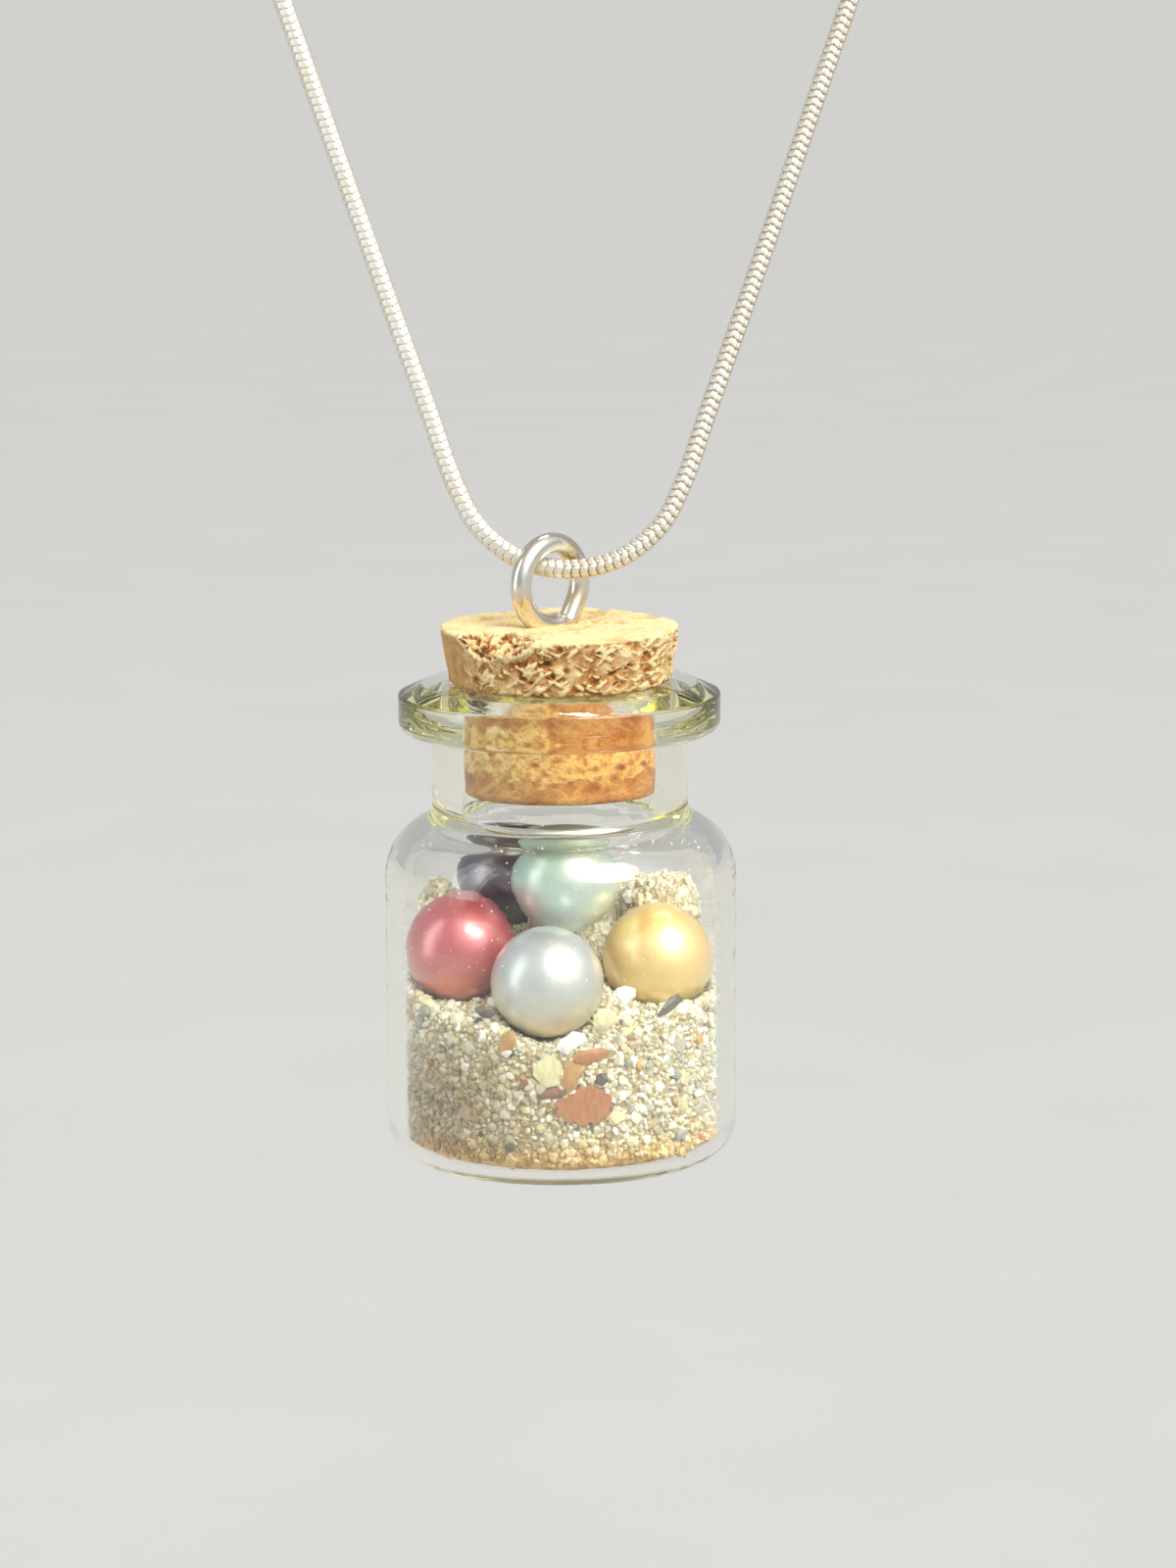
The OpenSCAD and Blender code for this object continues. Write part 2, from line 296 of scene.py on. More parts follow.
def turned(outline, steps):
    """A closed body of revolution round Z: an outline drawn out from one corner, then spun."""
    bpy.ops.mesh.primitive_plane_add(size=1, location=(0, 0, 0))
    body = made()
    edit(body, "SELECT")
    bpy.ops.mesh.merge(type="CENTER")
    bpy.ops.transform.translate(value=(outline[0].x, 0, outline[0].y))
    for a, b in zip(outline, outline[1:]):
        step = (b.x - a.x, 0, b.y - a.y)
        bpy.ops.mesh.extrude_region_move(TRANSFORM_OT_translate={"value": step})
    bpy.ops.mesh.select_all(action="SELECT")
    bpy.ops.mesh.spin(steps=steps, angle=math.tau, center=(0, 0, 0), axis=(0, 0, 1))
    bpy.ops.mesh.select_all(action="SELECT")
    bpy.ops.mesh.remove_doubles(threshold=0.0005)
    bpy.ops.mesh.normals_make_consistent(inside=False)
    close()
    return body


# Node trees

class Graph:
    """Adds nodes to a tree and joins them, for finishes and shapes alike. Patterns are in millimetres."""

    def __init__(self, tree):
        self.tree = tree
        self.place = None

    def add(self, kind, inputs=None, **settings):
        """A new node with its settings made and its inputs joined or set."""
        node = self.tree.nodes.new(kind)
        for name, value in settings.items():
            setattr(node, name, value)
        for key, value in (inputs or {}).items():
            self.put(node.inputs[key], value)
        return node

    def put(self, socket, value):
        """Joins a socket to another one, or sets its value. A colour comes without its alpha."""
        if isinstance(value, bpy.types.NodeSocket):
            self.tree.links.new(value, socket)
        else:
            socket.default_value = (*value, 1) if socket.type == "RGBA" else value

    def math(self, operation, a, b=0.0):
        return self.add("ShaderNodeMath", {0: a, 1: b}, operation=operation).outputs[0]

    def plus(self, a, b):
        return self.math("ADD", a, b)

    def minus(self, a, b):
        return self.math("SUBTRACT", a, b)

    def times(self, a, b):
        return self.math("MULTIPLY", a, b)

    def higher(self, a, b):
        return self.math("MAXIMUM", a, b)

    def spread(self, value, low, high, start=0.0, end=1.0):
        """Carries the range low to high over to start to end, and holds it there."""
        values = {"Value": value, "From Min": low, "From Max": high, "To Min": start, "To Max": end}
        return self.add("ShaderNodeMapRange", values, clamp=True).outputs[0]

    def blend(self, share, a, b):
        """The value a, carried over to b by a share from 0 to 1."""
        return self.plus(a, self.times(share, self.minus(b, a)))

    def vector(self, operation, values, output="Vector"):
        return self.add("ShaderNodeVectorMath", values, operation=operation).outputs[output]

    def stretched(self, scale, turn=(0, 0, 0)):
        """The pattern's place, turned and then drawn out: a small scale lengthens the pattern that way."""
        values = {"Vector": self.place, "Rotation": turn}
        turned_place = self.add("ShaderNodeVectorRotate", values, rotation_type="EULER_XYZ").outputs[0]
        return self.vector("MULTIPLY", {0: turned_place, 1: scale})

    def axes(self, where=None):
        return self.add("ShaderNodeSeparateXYZ", {0: where or self.place}).outputs

    def noise(self, scale, detail=2.0, roughness=0.5, distortion=0.0, where=None):
        values = {"Vector": where or self.place, "Scale": scale, "Detail": detail,
                  "Roughness": roughness, "Distortion": distortion}
        return self.add("ShaderNodeTexNoise", values).outputs[0]

    def cells(self, scale, where=None):
        """Distance to the nearest point of a scattered set."""
        values = {"Vector": where or self.place, "Scale": scale}
        return self.add("ShaderNodeTexVoronoi", values).outputs["Distance"]

    def attribute(self, name, output="Fac"):
        """What the mesh carries under a name."""
        return self.add("ShaderNodeAttribute", attribute_name=name).outputs[output]

    def ramp(self, value, stops, interpolation="LINEAR"):
        """Colour read from (position, colour) stops."""
        node = self.add("ShaderNodeValToRGB", {0: value})
        node.color_ramp.interpolation = interpolation
        marks = node.color_ramp.elements
        while len(marks) < len(stops):
            marks.new(0.5)
        for mark, (position, colour) in zip(marks, stops):
            mark.position = position
            mark.color = (*colour, 1)
        return node.outputs[0]

    def mix(self, share, a, b, blend="MIX"):
        """Two colours mixed. The sockets are the colour ones of the Mix node."""
        values = {0: share, 6: a, 7: b}
        return self.add("ShaderNodeMix", values, data_type="RGBA", blend_type=blend).outputs[2]


SOCKETS = {"ior": "IOR", "coat_ior": "Coat IOR", "specular_ior_level": "Specular IOR Level"}


class Finish(Graph):
    """A material being made, with its patterns centred on a point of the frame."""

    def __init__(self, name, centre=(0, 0, 0), **shader):
        self.material = bpy.data.materials.new(name)
        self.material.use_nodes = True
        super().__init__(self.material.node_tree)
        self.tree.nodes.clear()
        where = self.add("ShaderNodeTexCoord").outputs["Object"]
        shift = tuple(-mm(c) for c in centre)
        values = {"Vector": where, "Location": shift, "Scale": (1 / MM, 1 / MM, 1 / MM)}
        self.place = self.add("ShaderNodeMapping", values).outputs[0]
        self.shader = self.add("ShaderNodeBsdfPrincipled")
        self.output = self.add("ShaderNodeOutputMaterial", {"Surface": self.shader.outputs[0]})
        self.set(**shader)

    def set(self, **values):
        """Sets or joins the shader's sockets, named as coat_weight for Coat Weight."""
        for name, value in values.items():
            self.put(self.shader.inputs[SOCKETS.get(name, name.replace("_", " ").title())], value)

    def bump(self, height, distance, strength=1.0, under=None):
        """Relief of a height in millimetres, laid on the relief under it."""
        values = {"Height": height, "Distance": distance * MM, "Strength": strength}
        if under is not None:
            values["Normal"] = under
        relief = self.add("ShaderNodeBump", values).outputs[0]
        self.set(normal=relief)
        return relief


def dimmed(colour, red, green=None, blue=None):
    """A colour scaled by a share for each channel, or by the first for all."""
    return colour[0] * red, colour[1] * (green or red), colour[2] * (blue or red)


# Finishes

def link_metal(settings):
    """Plated links: bright crowns with a warm haze in patches, painted golden shade round them, fine
    scratches.
    """
    finish = Finish("plated_links", metallic=0.82)
    haze = finish.spread(finish.noise(0.35, 3.0), 0.42, 0.68, 0.0, 0.7)
    bright = finish.mix(haze, settings.metal, dimmed(settings.metal, 1, 0.93, 0.80))
    # Flanks take the darker flank colour: painted shade with a warm painted reflection between the links
    finish.set(base_color=finish.mix(finish.attribute("crown"), settings.flank_shade, bright))
    finish.set(roughness=finish.spread(finish.noise(2.2, 3.0), 0.3, 0.7, 0.42, 0.52))
    finish.bump(finish.noise(5.0, 2.0), 0.01, 0.2)
    return finish.material


def chain_tarnish(settings):
    """Dark metal in the seams between the links."""
    finish = Finish("chain_tarnish", metallic=0.8, roughness=0.55)
    dark = dimmed(settings.tarnish, 0.4)
    finish.set(base_color=finish.mix(finish.noise(1.5, 2.0), settings.tarnish, dark))
    return finish.material


def clasp_metal(settings):
    """Plated barrel, polished, with fine turning marks round it."""
    finish = Finish("plated_barrel", metallic=1.0)
    marks = finish.noise(1.0, 3.0, where=finish.stretched((6.0, 0.4, 0.4)))
    dull = dimmed(settings.metal, 0.86)
    finish.set(base_color=finish.mix(finish.spread(marks, 0.4, 0.7), settings.metal, dull))
    finish.set(roughness=finish.spread(marks, 0.3, 0.7, 0.12, 0.28))
    finish.bump(marks, 0.01, 0.3)
    return finish.material


def eye_metal(settings):
    """Drawn wire, polished, with faint marks and a slightly yellow cast in patches."""
    finish = Finish("drawn_wire", BASE, metallic=1.0)
    cast = finish.spread(finish.noise(0.55, 2.0), 0.45, 0.65)
    finish.set(base_color=finish.mix(cast, settings.metal, dimmed(settings.metal, 1, 0.90, 0.70)))
    marks = finish.noise(3.5, 4.0, 0.6)
    finish.set(roughness=finish.spread(marks, 0.3, 0.7, 0.13, 0.26))
    finish.bump(marks, 0.015, 0.35)
    return finish.material


def cork_finish(settings):
    """Cork coloured by its level: dark pits, red-brown body, pale fibres and a creamy top."""
    finish = Finish("natural_cork", BASE, specular_ior_level=0.15)
    finish.place = finish.attribute("blank", "Vector")
    fine = finish.noise(4.5, 4.0, 0.65)
    level = finish.plus(cork_level(finish)[0], finish.spread(fine, 0.3, 0.7, -0.06, 0.06))
    middle = tuple(0.55 * a + 0.45 * b for a, b in zip(settings.pale, settings.body))
    cream = tuple(0.92 * c ** 0.75 for c in settings.pale)
    colour = finish.ramp(level, [(0.04, settings.deep), (0.24, settings.body), (0.50, middle),
                                 (0.72, settings.pale), (0.97, cream)])
    x, _, z = finish.axes()
    in_neck = finish.spread(z, BOTTLE_H - 1.6, BOTTLE_H - 0.4, 0.9, 0.0)
    right = finish.spread(finish.plus(x, finish.noise(0.5, 2.0)), -2.5, 1.5)
    warm = finish.mix(right, settings.left_tint, settings.right_tint)
    finish.set(base_color=finish.mix(in_neck, colour, warm, "MULTIPLY"))
    finish.set(roughness=finish.spread(fine, 0.2, 0.8, 0.95, 0.75))
    finish.bump(level, 0.16, 0.7, under=finish.bump(fine, 0.05, 0.5))
    return finish.material


TINT_DENSITY = 46.0
SHADOW_TINT = (0.90, 0.93, 0.88)


def glass_finish(settings):
    """Clear glass whose thick edges show a yellow-green tint. Lamps shine through it."""
    finish = Finish("bottle_glass", BASE, base_color=(1.0, 1.0, 1.0), roughness=0.0, ior=1.5,
                    transmission_weight=1.0)
    wave = finish.noise(0.28, 2.0)
    rings = finish.noise(0.5, 2.0, where=finish.stretched((0.35, 0.35, 2.2)))
    blown = finish.bump(rings, 0.035, 0.5, under=finish.bump(wave, 0.05, 0.35))
    off_shoulder = finish.math("ABSOLUTE", finish.minus(finish.axes()[2], SIDE_TOP + 2.6))
    on_shoulder = finish.spread(off_shoulder, 0.8, 2.4, 1.0, 0.0)
    streaks = finish.noise(0.75, 1.0, 0.5, where=finish.stretched((0.13, 0.13, 1.0)))
    finish.bump(finish.times(streaks, on_shoulder), 0.07, 0.6, under=blown)
    through = finish.add("ShaderNodeBsdfTransparent", {"Color": SHADOW_TINT}).outputs[0]
    shadow = finish.add("ShaderNodeLightPath").outputs["Is Shadow Ray"]
    mixed = finish.add("ShaderNodeMixShader", {0: shadow, 1: finish.shader.outputs[0], 2: through})
    tint = finish.add("ShaderNodeVolumeAbsorption", {"Color": settings.tint, "Density": TINT_DENSITY})
    finish.put(finish.output.inputs["Surface"], mixed.outputs[0])
    finish.put(finish.output.inputs["Volume"], tint.outputs[0])
    return finish.material


SAND_TONES = [
    (0.00, (0.76, 0.74, 0.62)), (0.28, (0.66, 0.63, 0.49)), (0.46, (0.70, 0.64, 0.42)),
    (0.58, (0.93, 0.92, 0.88)), (0.76, (0.50, 0.49, 0.42)), (0.88, (0.54, 0.42, 0.25)),
    (0.945, (0.38, 0.27, 0.18)), (0.975, (0.60, 0.34, 0.14)), (0.99, (0.14, 0.13, 0.13)),
]


def grain_finish():
    """Beach sand: each grain has its own tone, paler on top, with painted shade low on the left and a painted
    amber reflection at the foot.
    """
    finish = Finish("beach_sand", BASE, specular_ior_level=0.55, coat_weight=0.15, coat_roughness=0.2)
    tone = finish.ramp(finish.attribute("grain"), SAND_TONES, "CONSTANT")
    mottle = finish.noise(3.5, 3.0)
    tone = finish.mix(finish.spread(mottle, 0.35, 0.75, 0.0, 0.22), tone, (0.72, 0.62, 0.46), "MULTIPLY")
    x, _, z = finish.axes()
    tone = finish.mix(finish.spread(z, 11.5, 13.5, 0.0, 0.55), tone, (0.78, 0.74, 0.58))
    # Painted shade: the grains are darkened low on the left, the side away from the main lamp
    painted_light = finish.times(finish.spread(x, -6.0, 1.0, 1.0, 0.0), finish.spread(z, 6.0, 10.0, 1.0, 0.0))
    tone = finish.mix(finish.times(painted_light, 0.95), tone, (0.56, 0.46, 0.37), "MULTIPLY")
    # Painted reflection of the glass base: the grains turn amber towards the foot
    foot = finish.spread(z, SAND_FOOT + 0.3, SAND_FOOT + 2.5, 0.95, 0.0)
    tone = finish.mix(foot, tone, (1.0, 0.70, 0.27), "MULTIPLY")
    finish.set(base_color=tone, roughness=finish.spread(mottle, 0.3, 0.7, 0.25, 0.55))
    return finish.material


def sand_bed_finish():
    """Fine sand behind the grains, in their shade, and the smooth foot on the glass, painted amber as a
    reflection of the glass base.
    """
    finish = Finish("sand_bed", BASE, roughness=0.95, specular_ior_level=0.2)
    speck = finish.cells(4.5)
    tone = finish.ramp(speck, [(0.0, (0.70, 0.63, 0.46)), (0.35, (0.56, 0.48, 0.32)),
                               (0.7, (0.40, 0.31, 0.19))])
    # Painted reflection of the glass base: the bed's foot on the glass turns amber
    foot = finish.spread(finish.axes()[2], SAND_FOOT + FOOT_R, SAND_FOOT + 2 * FOOT_R, 1.0, 0.0)
    painted_light = finish.ramp(finish.noise(1.6, 3.0), [(0.38, (0.50, 0.30, 0.11)), (0.62, (0.80, 0.54, 0.24))])
    finish.set(base_color=finish.mix(foot, tone, painted_light))
    finish.bump(speck, 0.12, 0.5)
    return finish.material


def chip_finish():
    """Worn shell and stone: the chip's own tone, faintly veined."""
    finish = Finish("shell_and_stone", BASE, specular_ior_level=0.5)
    vein = finish.noise(1.4, 4.0, 0.6, 0.5, where=finish.stretched((2.6, 1, 0.8)))
    veined = finish.spread(vein, 0.35, 0.7, 0.0, 0.55)
    own = finish.attribute("tone", "Color")
    finish.set(base_color=finish.mix(veined, own, (0.62, 0.55, 0.48), "MULTIPLY"))
    finish.set(roughness=finish.spread(vein, 0.3, 0.7, 0.35, 0.6))
    finish.bump(vein, 0.05, 0.4)
    return finish.material


def nacre_finish(name, centre, colour, glow, foot, lustre):
    """Pearl: a satin body under a lustrous skin, with painted bounce light from the sand towards its foot,
    and a tint that drifts over it.
    """
    finish = Finish(name, centre, metallic=0.45, coat_weight=1.0, coat_roughness=0.26, coat_ior=lustre,
                    specular_ior_level=0.7)
    drift = finish.noise(0.22, 2.0)
    fine = finish.noise(2.6, 3.0)
    # Painted bounce light: the body turns to the foot colour towards the bottom, as if lit from the sand
    height = finish.plus(finish.axes()[2], finish.spread(drift, 0.3, 0.7, -0.8, 0.8))
    tone = finish.mix(finish.spread(height, -2.9, 0.6, 0.95, 0.0), colour, foot)
    tone = finish.mix(finish.spread(drift, 0.42, 0.62, 0.0, 0.45), tone, glow)
    tone = finish.mix(finish.spread(fine, 0.35, 0.7, 0.0, 0.10), tone, dimmed(colour, 0.75))
    finish.set(base_color=tone, roughness=finish.spread(fine, 0.3, 0.7, 0.38, 0.46))
    finish.bump(fine, 0.008, 0.25)
    return finish.material


def floor_finish():
    """Pale matt paper."""
    finish = Finish("pale_floor", roughness=0.9, specular_ior_level=0.15)
    grain = finish.spread(finish.noise(0.02, 2.0), 0.3, 0.7)
    finish.set(base_color=finish.mix(grain, (0.49, 0.487, 0.478), (0.48, 0.477, 0.468)))
    return finish.material


# Chain

# Right half of the chain's course, from the lowest point at the eye to its end in the clasp. The left half is
# its mirror image.
CHAIN_HALF = [
    (0, -122, -160), (1.8, -121.9, -159.8), (3.45, -121.7, -159.2), (4.9, -121.3, -158.2),
    (6.05, -120.8, -156.95), (6.85, -120.2, -155.45), (8.75, -118.2, -150.5), (18, -108.2, -125.5),
    (27.25, -98.2, -100.5), (36.5, -88.2, -75.5), (40.7, -83, -64.7), (44.7, -77, -54.9),
    (48.4, -70.3, -46.1), (51.6, -63, -38.3), (54, -54.9, -31.4), (55, -46.2, -25.3),
    (54.2, -37.3, -20), (51, -28.6, -15.2), (45.6, -20.4, -10.8), (38.2, -13.2, -7),
    (28.8, -7.1, -3.7), (17.8, -2.6, -1.35), (9, -0.5, -0.25), (3.5, 0, 0),
]

# Two sides of the chain: size of a link along and across its cell, height of its crown, how far the crown is
# drawn in at each of its two steps, and how bright its flank stays beside the crown, where the darker flank
# colour is painted shade with a warm painted reflection. The left half shows the smooth side, the right half
# the beaded one.
SMOOTH = (0.98, 0.85, 0.030, 0.05, 0.08, 0.85)
BEADED = (0.93, 0.79, 0.075, 0.07, 0.09, 0.25)

# Thickness of a link's plate and the cut of its corners
PLATE, PLATE_CORNER = 0.26, 0.08
# How far a link leans, as a share of its row, and the thickness of the dark core, as a share of the chain's
LEAN, CORE = 0.36, 0.885


def chain_course():
    """The chain's course as a smooth curve, with each handle a third of its span long."""
    right = [Vector(p) for p in CHAIN_HALF]
    points = [Vector((-p.x, p.y, p.z)) for p in reversed(right[1:])] + right
    spans = [(b - a).length for a, b in zip(points, points[1:])]
    steps = [(b - a).normalized() for a, b in zip(points, points[1:])]
    ways = [(steps[i - 1] * spans[i] + steps[i] * spans[i - 1]).normalized() for i in range(1, len(steps))]
    ways = [(2 * steps[0] - ways[0]).normalized()] + ways + [(2 * steps[-1] - ways[-1]).normalized()]
    bpy.ops.curve.primitive_bezier_curve_add(location=(0, 0, 0))
    course = made()
    spline = course.data.splines[0]
    spline.bezier_points.add(len(points) - len(spline.bezier_points))
    for i, knot in enumerate(spline.bezier_points):
        knot.handle_left_type = knot.handle_right_type = "FREE"
        knot.co = points[i]
        knot.handle_left = points[i] - ways[i] * spans[max(i - 1, 0)] / 3
        knot.handle_right = points[i] + ways[i] * spans[min(i, len(spans) - 1)] / 3
    course.data.resolution_u = 24
    course.data.use_deform_bounds = False
    return course


def link(settings, side_shown, lean):
    """One link at the top of the chain: an eight-cornered plate, its ends carried along the chain by half a
    lean each way, and its top drawn in twice."""
    outer = mm(settings.width) / 2
    along, across, rise, first_step, second_step, shaded = side_shown
    along, across = mm(settings.pitch) * along, outer * across
    bpy.ops.mesh.primitive_cube_add(size=1, location=(0, 0, 0))
    plate = made()
    edit(plate, "SELECT", "EDGE")
    bpy.ops.transform.resize(value=(along, across, PLATE))
    bpy.ops.mesh.select_all(action="DESELECT")
    shape = bmesh.from_edit_mesh(plate.data)
    for e in shape.edges:
        e.select_set(abs(e.verts[0].co.z - e.verts[1].co.z) > PLATE / 2)
    bpy.ops.mesh.bevel(offset=PLATE_CORNER, segments=1)
    pick_faces(plate, lambda centre, normal: normal.z > 0.9)
    bpy.ops.mesh.inset(thickness=first_step, depth=rise * 0.7)
    bpy.ops.mesh.inset(thickness=second_step, depth=rise * 0.3)
    bpy.ops.mesh.select_mode(type="VERT")
    for side in (-1, 1):
        for reach in (0, across * 0.4):
            pick_points(plate, lambda place: place.y * side > reach)
            bpy.ops.transform.translate(value=(side * lean / 4, 0, 0))
    bpy.ops.mesh.select_all(action="SELECT")
    bpy.ops.transform.translate(value=(0, 0, outer - PLATE / 2 - rise))
    close()
    # Crowns carry 1, flanks a lower share, which sets how much painted shade the flanks take
    crown = plate.data.attributes.new("crown", "FLOAT", "POINT")
    for v, mark in zip(plate.data.vertices, crown.data):
        mark.value = 1.0 if v.co.z > outer - rise * 0.5 else shaded
    return plate


def link_rows(settings, side_shown, course, first, count):
    """Rows of links from a row number on, laid along the chain's course. Neighbours lean opposite ways."""
    pitch = mm(settings.pitch)
    pair = [link(settings, side_shown, lean) for lean in (pitch * LEAN, -pitch * LEAN)]
    ring = []
    for k in range(settings.columns):
        ring.append(copy_of(pair[k % 2]))
        ring[k].rotation_euler.x = math.tau * k / settings.columns
    for plate in pair:
        bpy.data.objects.remove(plate)
    rows = joined(ring)
    rows.location.x += pitch * (first + 0.5)
    apply_place()
    repeat = rows.modifiers.new("Rows", "ARRAY")
    repeat.count = count
    repeat.use_relative_offset = False
    repeat.use_constant_offset = True
    repeat.constant_offset_displace = (pitch, 0, 0)
    bend = rows.modifiers.new("Course", "CURVE")
    bend.object = course
    bend.deform_axis = "POS_X"
    apply_modifiers(rows)
    bpy.ops.object.shade_smooth()
    return rows


class NECKLACE_OT_snake_chain(Operator):
    """Snake chain: rows of interlocking links along the whole loop, round a dark core"""
    bl_idname = "necklace.snake_chain"
    bl_label = "Snake chain"

    def execute(self, context):
        settings = context.scene.necklace_chain
        place = ("snake_chain", "chain_metal", "chain", (0, 0, 0))
        course = chain_course()
        rows = int(course.data.splines[0].calc_length() / mm(settings.pitch)) - 1
        metal, tarnish = link_metal(settings), chain_tarnish(settings)
        half, quarter = rows // 2, rows // 4
        parts = {
            "chain_left_back": (SMOOTH, 0, quarter),
            "chain_left_front": (SMOOTH, quarter, half - quarter),
            "chain_right_front": (BEADED, half, quarter),
            "chain_right_back": (BEADED, half + quarter, rows - half - quarter),
        }
        for name, (side_shown, first, count) in parts.items():
            hand_in(link_rows(settings, side_shown, course, first, count), name, metal, *place)
        course.data.bevel_depth = mm(settings.width) / 2 * CORE
        course.data.bevel_resolution = 2
        course.data.resolution_u = 12
        course.data.use_fill_caps = True
        only(course)
        bpy.ops.object.convert(target="MESH")
        hand_in(made(), "chain_core", tarnish, *place)
        return {"FINISHED"}


# Clasp

class NECKLACE_OT_clasp(Operator):
    """Barrel clasp: two turned halves with fluted grips, which screw together at the middle"""
    bl_idname = "necklace.clasp"
    bl_label = "Barrel clasp"

    def execute(self, context):
        low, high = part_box("clasp")
        half, r = mm(high.x - low.x) / 2, mm(high.z - low.z) / 2
        bore, deep, groove = 0.9, 3.0, 0.22
        grip_from, grip_to, flute_edge, flute_depth = 0.9, 4.1, 0.035, 0.05
        corners = [(0, deep - half, 0), (bore, deep - half, 0), (bore, -half, 0.15), (r, -half, 1.0),
                   (r, -grip_to, 0), (r, -grip_from, 0), (r, -groove, 0.08), (r - groove, 0, 0.05)]
        mirrored = [(x, -z, radius) for x, z, radius in reversed(corners[:-1])]
        barrel = turned(rounded(corners + mirrored), 72)
        edit(barrel)
        pick_faces(barrel, lambda centre, normal: centre.xy.length > r * 0.98
                   and grip_from < abs(centre.z) < grip_to)
        bpy.ops.mesh.inset(use_individual=True, thickness=flute_edge, depth=-flute_depth)
        close()
        bpy.ops.object.shade_smooth_by_angle(angle=math.radians(35))
        barrel.rotation_euler.y = math.radians(90)
        finish = clasp_metal(context.scene.necklace_chain)
        hand_in(barrel, "barrel_clasp", finish, "clasp", "clasp_metal", "chain", (0, 0, 0))
        return {"FINISHED"}


# Screw eye

class NECKLACE_OT_screw_eye(Operator):
    """Screw eye: the frame's own bent wire, in polished metal"""
    bl_idname = "necklace.screw_eye"
    bl_label = "Screw eye"

    def execute(self, context):
        eye = frame["nodes"]["screw_eye"]
        eye.material_slots[0].material = eye_metal(context.scene.necklace_eye)
        return {"FINISHED"}


# Cork

# Gap between the cork and the glass
GAP = 0.08
# Middle and radius of the hollow broken out of the front left edge
HOLLOW, HOLLOW_R = Vector((-4.2, -6.2, CORK_TOP + 3.1)), 4.0
# Band of loose, flaky cork in the neck
FLAKY_FROM, FLAKY_TO = 24.9, 26.3
# Cracks in the cork's top: where each starts and ends across, and how far behind the middle it lies
CRACKS = [(-3.9, -1.8, 0.9), (0.9, 4.1, 1.35)]


def fibres(g, turn, scale=1.0):
    """Slanted torn strokes, 1 on each stroke and 0 between them."""
    wave = g.noise(scale, 3.0, 0.55, 0.5, where=g.stretched((0.75, 0.85, 2.3), turn))
    return g.spread(wave, 0.51, 0.60)


def cork_top(g):
    """Level of the cork's top: creamy, lumpy and pitted, with two short cracks."""
    x, y, _ = g.axes()
    lumps = g.spread(g.noise(0.7, 4.0, 0.65), 0.36, 0.62, 0.46, 0.97)
    top = g.times(lumps, g.spread(g.cells(1.1), 0.03, 0.14, 0.6, 1.0))
    for start, end, behind in CRACKS:
        course = g.plus(behind, g.spread(g.noise(1.1, 2.0), 0.3, 0.7, -0.4, 0.4))
        off = g.math("ABSOLUTE", g.minus(y, course))
        along = g.times(g.spread(x, start, start + 0.5), g.spread(x, end - 0.5, end, 1.0, 0.0))
        crack = g.times(g.spread(off, 0.08, 0.28, 1.0, 0.0), along)
        top = g.times(top, g.minus(1.0, g.times(crack, 0.85)))
    return top


def cork_in_neck(g, fray, pits):
    """Level of the cork in the neck: sound orange-brown cork with a loose, flaky band."""
    x, _, z = g.axes()
    height = g.plus(z, g.spread(g.noise(0.45, 3.0, 0.6), 0.3, 0.7, -0.7, 0.7))
    upper = g.spread(x, -1.5, 1.5, FLAKY_TO + 1.8, FLAKY_TO)
    below = g.spread(g.minus(height, upper), 0.0, 0.5, 1.0, 0.0)
    flaky = g.times(g.spread(height, FLAKY_FROM - 0.1, FLAKY_FROM + 0.15), below)
    crumbs = g.spread(g.noise(1.5, 4.0, 0.7), 0.40, 0.60, 0.28, 0.90)
    torn = g.spread(fray, 0.0, 1.0, 0.42, 0.95)
    loose = g.times(g.blend(0.35, crumbs, torn), g.spread(pits, 0.0, 1.0, 0.30, 1.0))
    sound = g.plus(g.spread(g.noise(0.6, 3.0), 0.3, 0.7, 0.14, 0.42), g.times(fray, 0.12))
    return g.blend(flaky, sound, loose)


